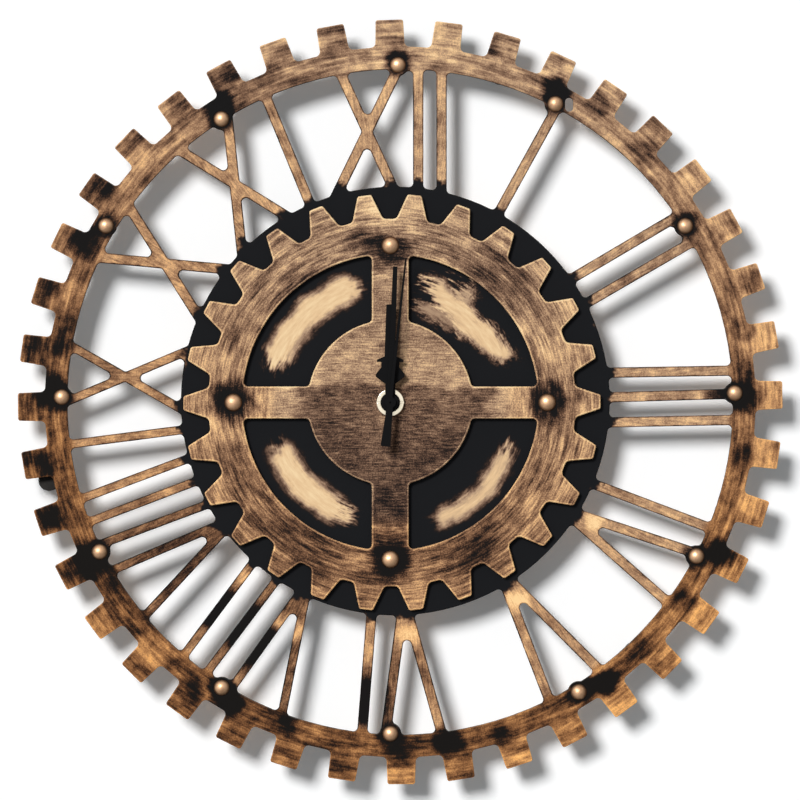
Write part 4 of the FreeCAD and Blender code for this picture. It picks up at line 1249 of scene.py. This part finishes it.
@dataclass
class Fittings:
    """Hands, clamp and movement: their pieces, softened edges and finishes."""

    copies: tuple[Copy, ...] = (
        Copy("hour_hand", Body.HOURS, 0.10), Copy("minute_hand", Body.MINUTES, 0.10),
        Copy("second_hand", Body.SECONDS, 0.08), Copy("fixing_nut", Body.CLOCK, 0.12),
        Copy("brass_washer", Body.CLOCK, 0.08), Copy("rubber_gasket", Body.CLOCK, 0.12),
        Copy("wall_pads", Body.CLOCK, 0.5), Copy("movement_case", Body.CLOCK, 0.25),
        Copy("movement_cover", Body.CLOCK, 0.2), Copy("setting_knob", Body.MINUTE_ARBOR, 0.15),
        Copy("hanger", Body.CLOCK, 0.15), Copy("battery", Body.CLOCK, 0.4))
    finishes: dict[str, Finish] = field(default_factory=lambda: {
        "hands_black": Plastic("satin_black_enamel", srgb(7, 7, 8), 0.55, 0.4, 0.003, 0.1,
                               0.0, 0.06),
        # The nails' rim colour is painted shade round the edge of each dome.
        "studs": Metal("antique_bronze", srgb(206, 166, 130), srgb(122, 88, 66), 0.4,
                       (0.8, 0.8, 0.8), 0.004, 0.5, rim=srgb(84, 54, 38)),
        "nut": Metal("pale_brass", srgb(244, 234, 212), srgb(206, 190, 156), 0.2,
                     (1.0, 1.0, 1.0), 0.002, 0.3),
        "washer": Metal("washer_brass", srgb(222, 190, 128), srgb(150, 116, 62), 0.3),
        "bushing_brass": Metal("turned_brass", srgb(222, 188, 120), srgb(146, 112, 58), 0.26,
                               (0.4, 6.0, 0.4)),
        "gasket": Plastic("rubber", srgb(30, 30, 31), 0.75, 0.5, 0.02, 0.2, 0.4),
        "pads": Plastic("soft_pad", srgb(42, 39, 37), 0.9, 0.6, 0.06, 0.25, 0.3, 0.3),
        "case_plastic": Plastic("case_black", srgb(30, 30, 32), 0.5, 0.35, 0.02, 0.15, 0.3),
        "cover_plastic": Plastic("cover_black", srgb(34, 34, 36), 0.42, 0.35, 0.015, 0.15, 0.3),
        "plate_plastic": Plastic("natural_plastic", srgb(212, 210, 202), 0.4, 0.6, 0.01),
        "white_wheels": Plastic("white_acetal", srgb(228, 227, 222), 0.32, 0.5, 0.006, 0.05),
        "minute_pipe_plastic": Plastic("black_acetal", srgb(36, 36, 37), 0.35, 0.5, 0.006),
        "tinted_wheels": Plastic("tinted_acetal", srgb(196, 92, 60), 0.32, 0.5, 0.006, 0.06),
        "knob_plastic": Plastic("ivory_plastic", srgb(216, 212, 200), 0.4, 0.4, 0.01, 0.06),
        "resin": Plastic("black_resin", srgb(22, 21, 22), 0.2, 0.8, 0.02, 0.2, 0.1),
        "bobbin": Plastic("cream_bobbin", srgb(222, 214, 190), 0.35, 0.5, 0.01, 0.06),
        "magnet": Plastic("ground_magnet", srgb(66, 67, 71), 0.38, 0.3, 0.01, 0.2),
        "hanger_steel": Metal("zinc_plate", srgb(196, 198, 202), srgb(140, 138, 130), 0.34,
                              (3.0, 3.0, 0.3)),
        "arbor_steel": Metal("drawn_steel", srgb(188, 190, 194), srgb(120, 118, 114), 0.22,
                             (3.0, 0.2, 3.0), blacked_mm=-35.6),
        "motor_iron": Metal("stamped_iron", srgb(156, 156, 158), srgb(108, 98, 88), 0.42,
                            (0.4, 3.0, 3.0)),
        "crystal_can": Metal("plated_can", srgb(204, 205, 208), srgb(150, 150, 150), 0.2,
                             (0.3, 4.0, 4.0)),
        "contact_steel": Metal("nickel_strip", srgb(206, 204, 196), srgb(150, 144, 130), 0.28,
                               (3.0, 0.3, 3.0)),
        "winding": Winding("copper_wire"),
        "board": Laminate("brown_laminate"),
        "battery_sleeve": Sleeve("battery_bands"),
    })

    def build(self) -> None:
        """Makes the softened copies."""
        for copy in self.copies:
            copy.build()

    def dress(self, effects: Effects) -> None:
        """Gives every shown piece and node of these slots its finish.

        Args:
            effects: The shared node groups.
        """
        made = {name: finish.material(effects) for name, finish in self.finishes.items()}
        for piece in list(bpy.context.scene.objects):
            slot = piece.get("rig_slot") or SLOTS.get(piece.name)
            if piece.type == "MESH" and slot in made:
                cover(piece, made[slot])


@dataclass(frozen=True)
class Lamp:
    """Distant lamp: the way its light travels, its strength and its width in degrees."""

    name: str
    direction: Point
    strength: float
    width: float

    def build(self) -> None:
        """Adds the lamp to the scene."""
        data = bpy.data.lights.new(self.name, "SUN")
        data.energy = self.strength
        data.angle = math.radians(self.width)
        lamp = add_object(self.name, data)
        lamp.rotation_mode = "QUATERNION"
        lamp.rotation_quaternion = Vector(self.direction).to_track_quat("-Z", "Y")


@dataclass
class Studio:
    """The white wall, the light and the camera."""

    wall_half_size: float = 4.0
    wall_gap: float = 0.0003
    wall_glow: float = 0.085
    wall_dark: Colour = (0.99, 0.99, 0.99, 1.0)
    wall_glow_colour: Colour = (0.80, 0.93, 1.0, 1.0)
    background: Colour = WHITE
    lamps: tuple[Lamp, ...] = (Lamp("window_light", (8.4, 19.8, -8.4), 2.93, 17.0),
                               Lamp("rear_light", (-6.0, -20.0, -9.0), 2.2, 25.0))
    ambient: float = 0.17
    brighter_side: Point = (-0.45, -0.72, 0.53)
    camera_distance: float = 4.0
    frame_width: float = 0.41824
    frame_centre: tuple[float, float] = (0.00507, 0.00131)
    face_depth: float = -0.0228
    sensor: float = 36.0
    clip: tuple[float, float] = (0.01, 50.0)

    def wall(self) -> None:
        """Plain white wall that doesn't hide the clock from behind."""
        cage = bmesh.new()
        bmesh.ops.create_grid(cage, x_segments=1, y_segments=1, size=self.wall_half_size,
                              matrix=Matrix.Rotation(math.pi / 2, 4, "X"))
        bmesh.ops.translate(cage, verts=cage.verts, vec=(0.0, self.wall_gap, 0.0))
        wall = add_object("wall", turn_into_mesh(cage, "wall"))
        wall.visible_shadow = False
        surface = Surface("white_wall")
        graph = surface.graph
        grain = graph.noise(graph.place, 0.05, 3.0)
        rays = graph.node("ShaderNodeLightPath").outputs
        glow = graph.math("MULTIPLY", rays["Is Camera Ray"], self.wall_glow)
        surface.give(Base_Color=graph.mix(grain, self.wall_dark, WHITE), Roughness=1.0,
                     Specular_IOR_Level=0.0, Emission_Color=self.wall_glow_colour,
                     Emission_Strength=glow)
        behind = graph.node("ShaderNodeNewGeometry").outputs["Backfacing"]
        clear = graph.node("ShaderNodeBsdfTransparent").outputs[0]
        both = graph.node("ShaderNodeMixShader",
                          {0: behind, 1: surface.shader.outputs[0], 2: clear})
        graph.feed(graph.tree.nodes["Material Output"].inputs["Surface"], both.outputs[0])
        cover(wall, surface.material)

    def world(self) -> None:
        """White to the camera, soft and even to the clock, and brighter from the upper left."""
        world = bpy.data.worlds.new("studio")
        world.use_nodes = True
        bpy.context.scene.world = world
        graph = Graph(world.node_tree)
        rays = graph.node("ShaderNodeLightPath").outputs
        seen = graph.math("MAXIMUM", rays["Is Camera Ray"], rays["Is Transmission Ray"])
        towards = graph.node("ShaderNodeTexCoord").outputs["Generated"]
        lit = graph.vector("DOT_PRODUCT", towards, Vector(self.brighter_side).normalized()[:])
        mirrored = graph.smooth(lit, -0.35, 0.8, 0.25, 1.0)
        level = graph.choose(rays["Is Glossy Ray"], self.ambient, mirrored)
        inputs = world.node_tree.nodes["Background"].inputs
        graph.feed(inputs["Strength"], graph.choose(seen, level, 1.0))
        graph.feed(inputs["Color"], self.background)

    def camera(self) -> None:
        """Camera square to the dial, at the photograph's framing."""
        data = bpy.data.cameras.new("camera")
        data.sensor_width = self.sensor
        data.lens = self.sensor * (self.camera_distance + self.face_depth) / self.frame_width
        data.clip_start, data.clip_end = self.clip
        camera = add_object("camera", data)
        camera.location = (self.frame_centre[0], -self.camera_distance, self.frame_centre[1])
        camera.rotation_euler = (math.pi / 2, 0.0, 0.0)
        bpy.context.scene.camera = camera

    def build(self) -> None:
        """Sets the whole studio up."""
        self.wall()
        for lamp in self.lamps:
            lamp.build()
        self.world()
        self.camera()
        bpy.context.scene.view_settings.view_transform = "Standard"


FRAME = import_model()
SLOTS = {part["node"]: part["material_slot"] for part in FRAME["record"]["subparts"]}


def main() -> None:
    """Builds the dressed clock and its studio."""
    logging.basicConfig(level=logging.INFO)
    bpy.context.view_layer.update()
    effects = Effects()
    DialPlate().dress(effects)
    FrontGear().dress(effects)
    Nails("ring_studs", "dial_plate", 4.2, 2.4, 5.0).build()
    Nails("gear_studs", "front_gear", 4.7, 2.8, 8.5).build()
    fittings = Fittings()
    fittings.build()
    fittings.dress(effects)
    Studio().build()


if __name__ == "__main__":
    main()
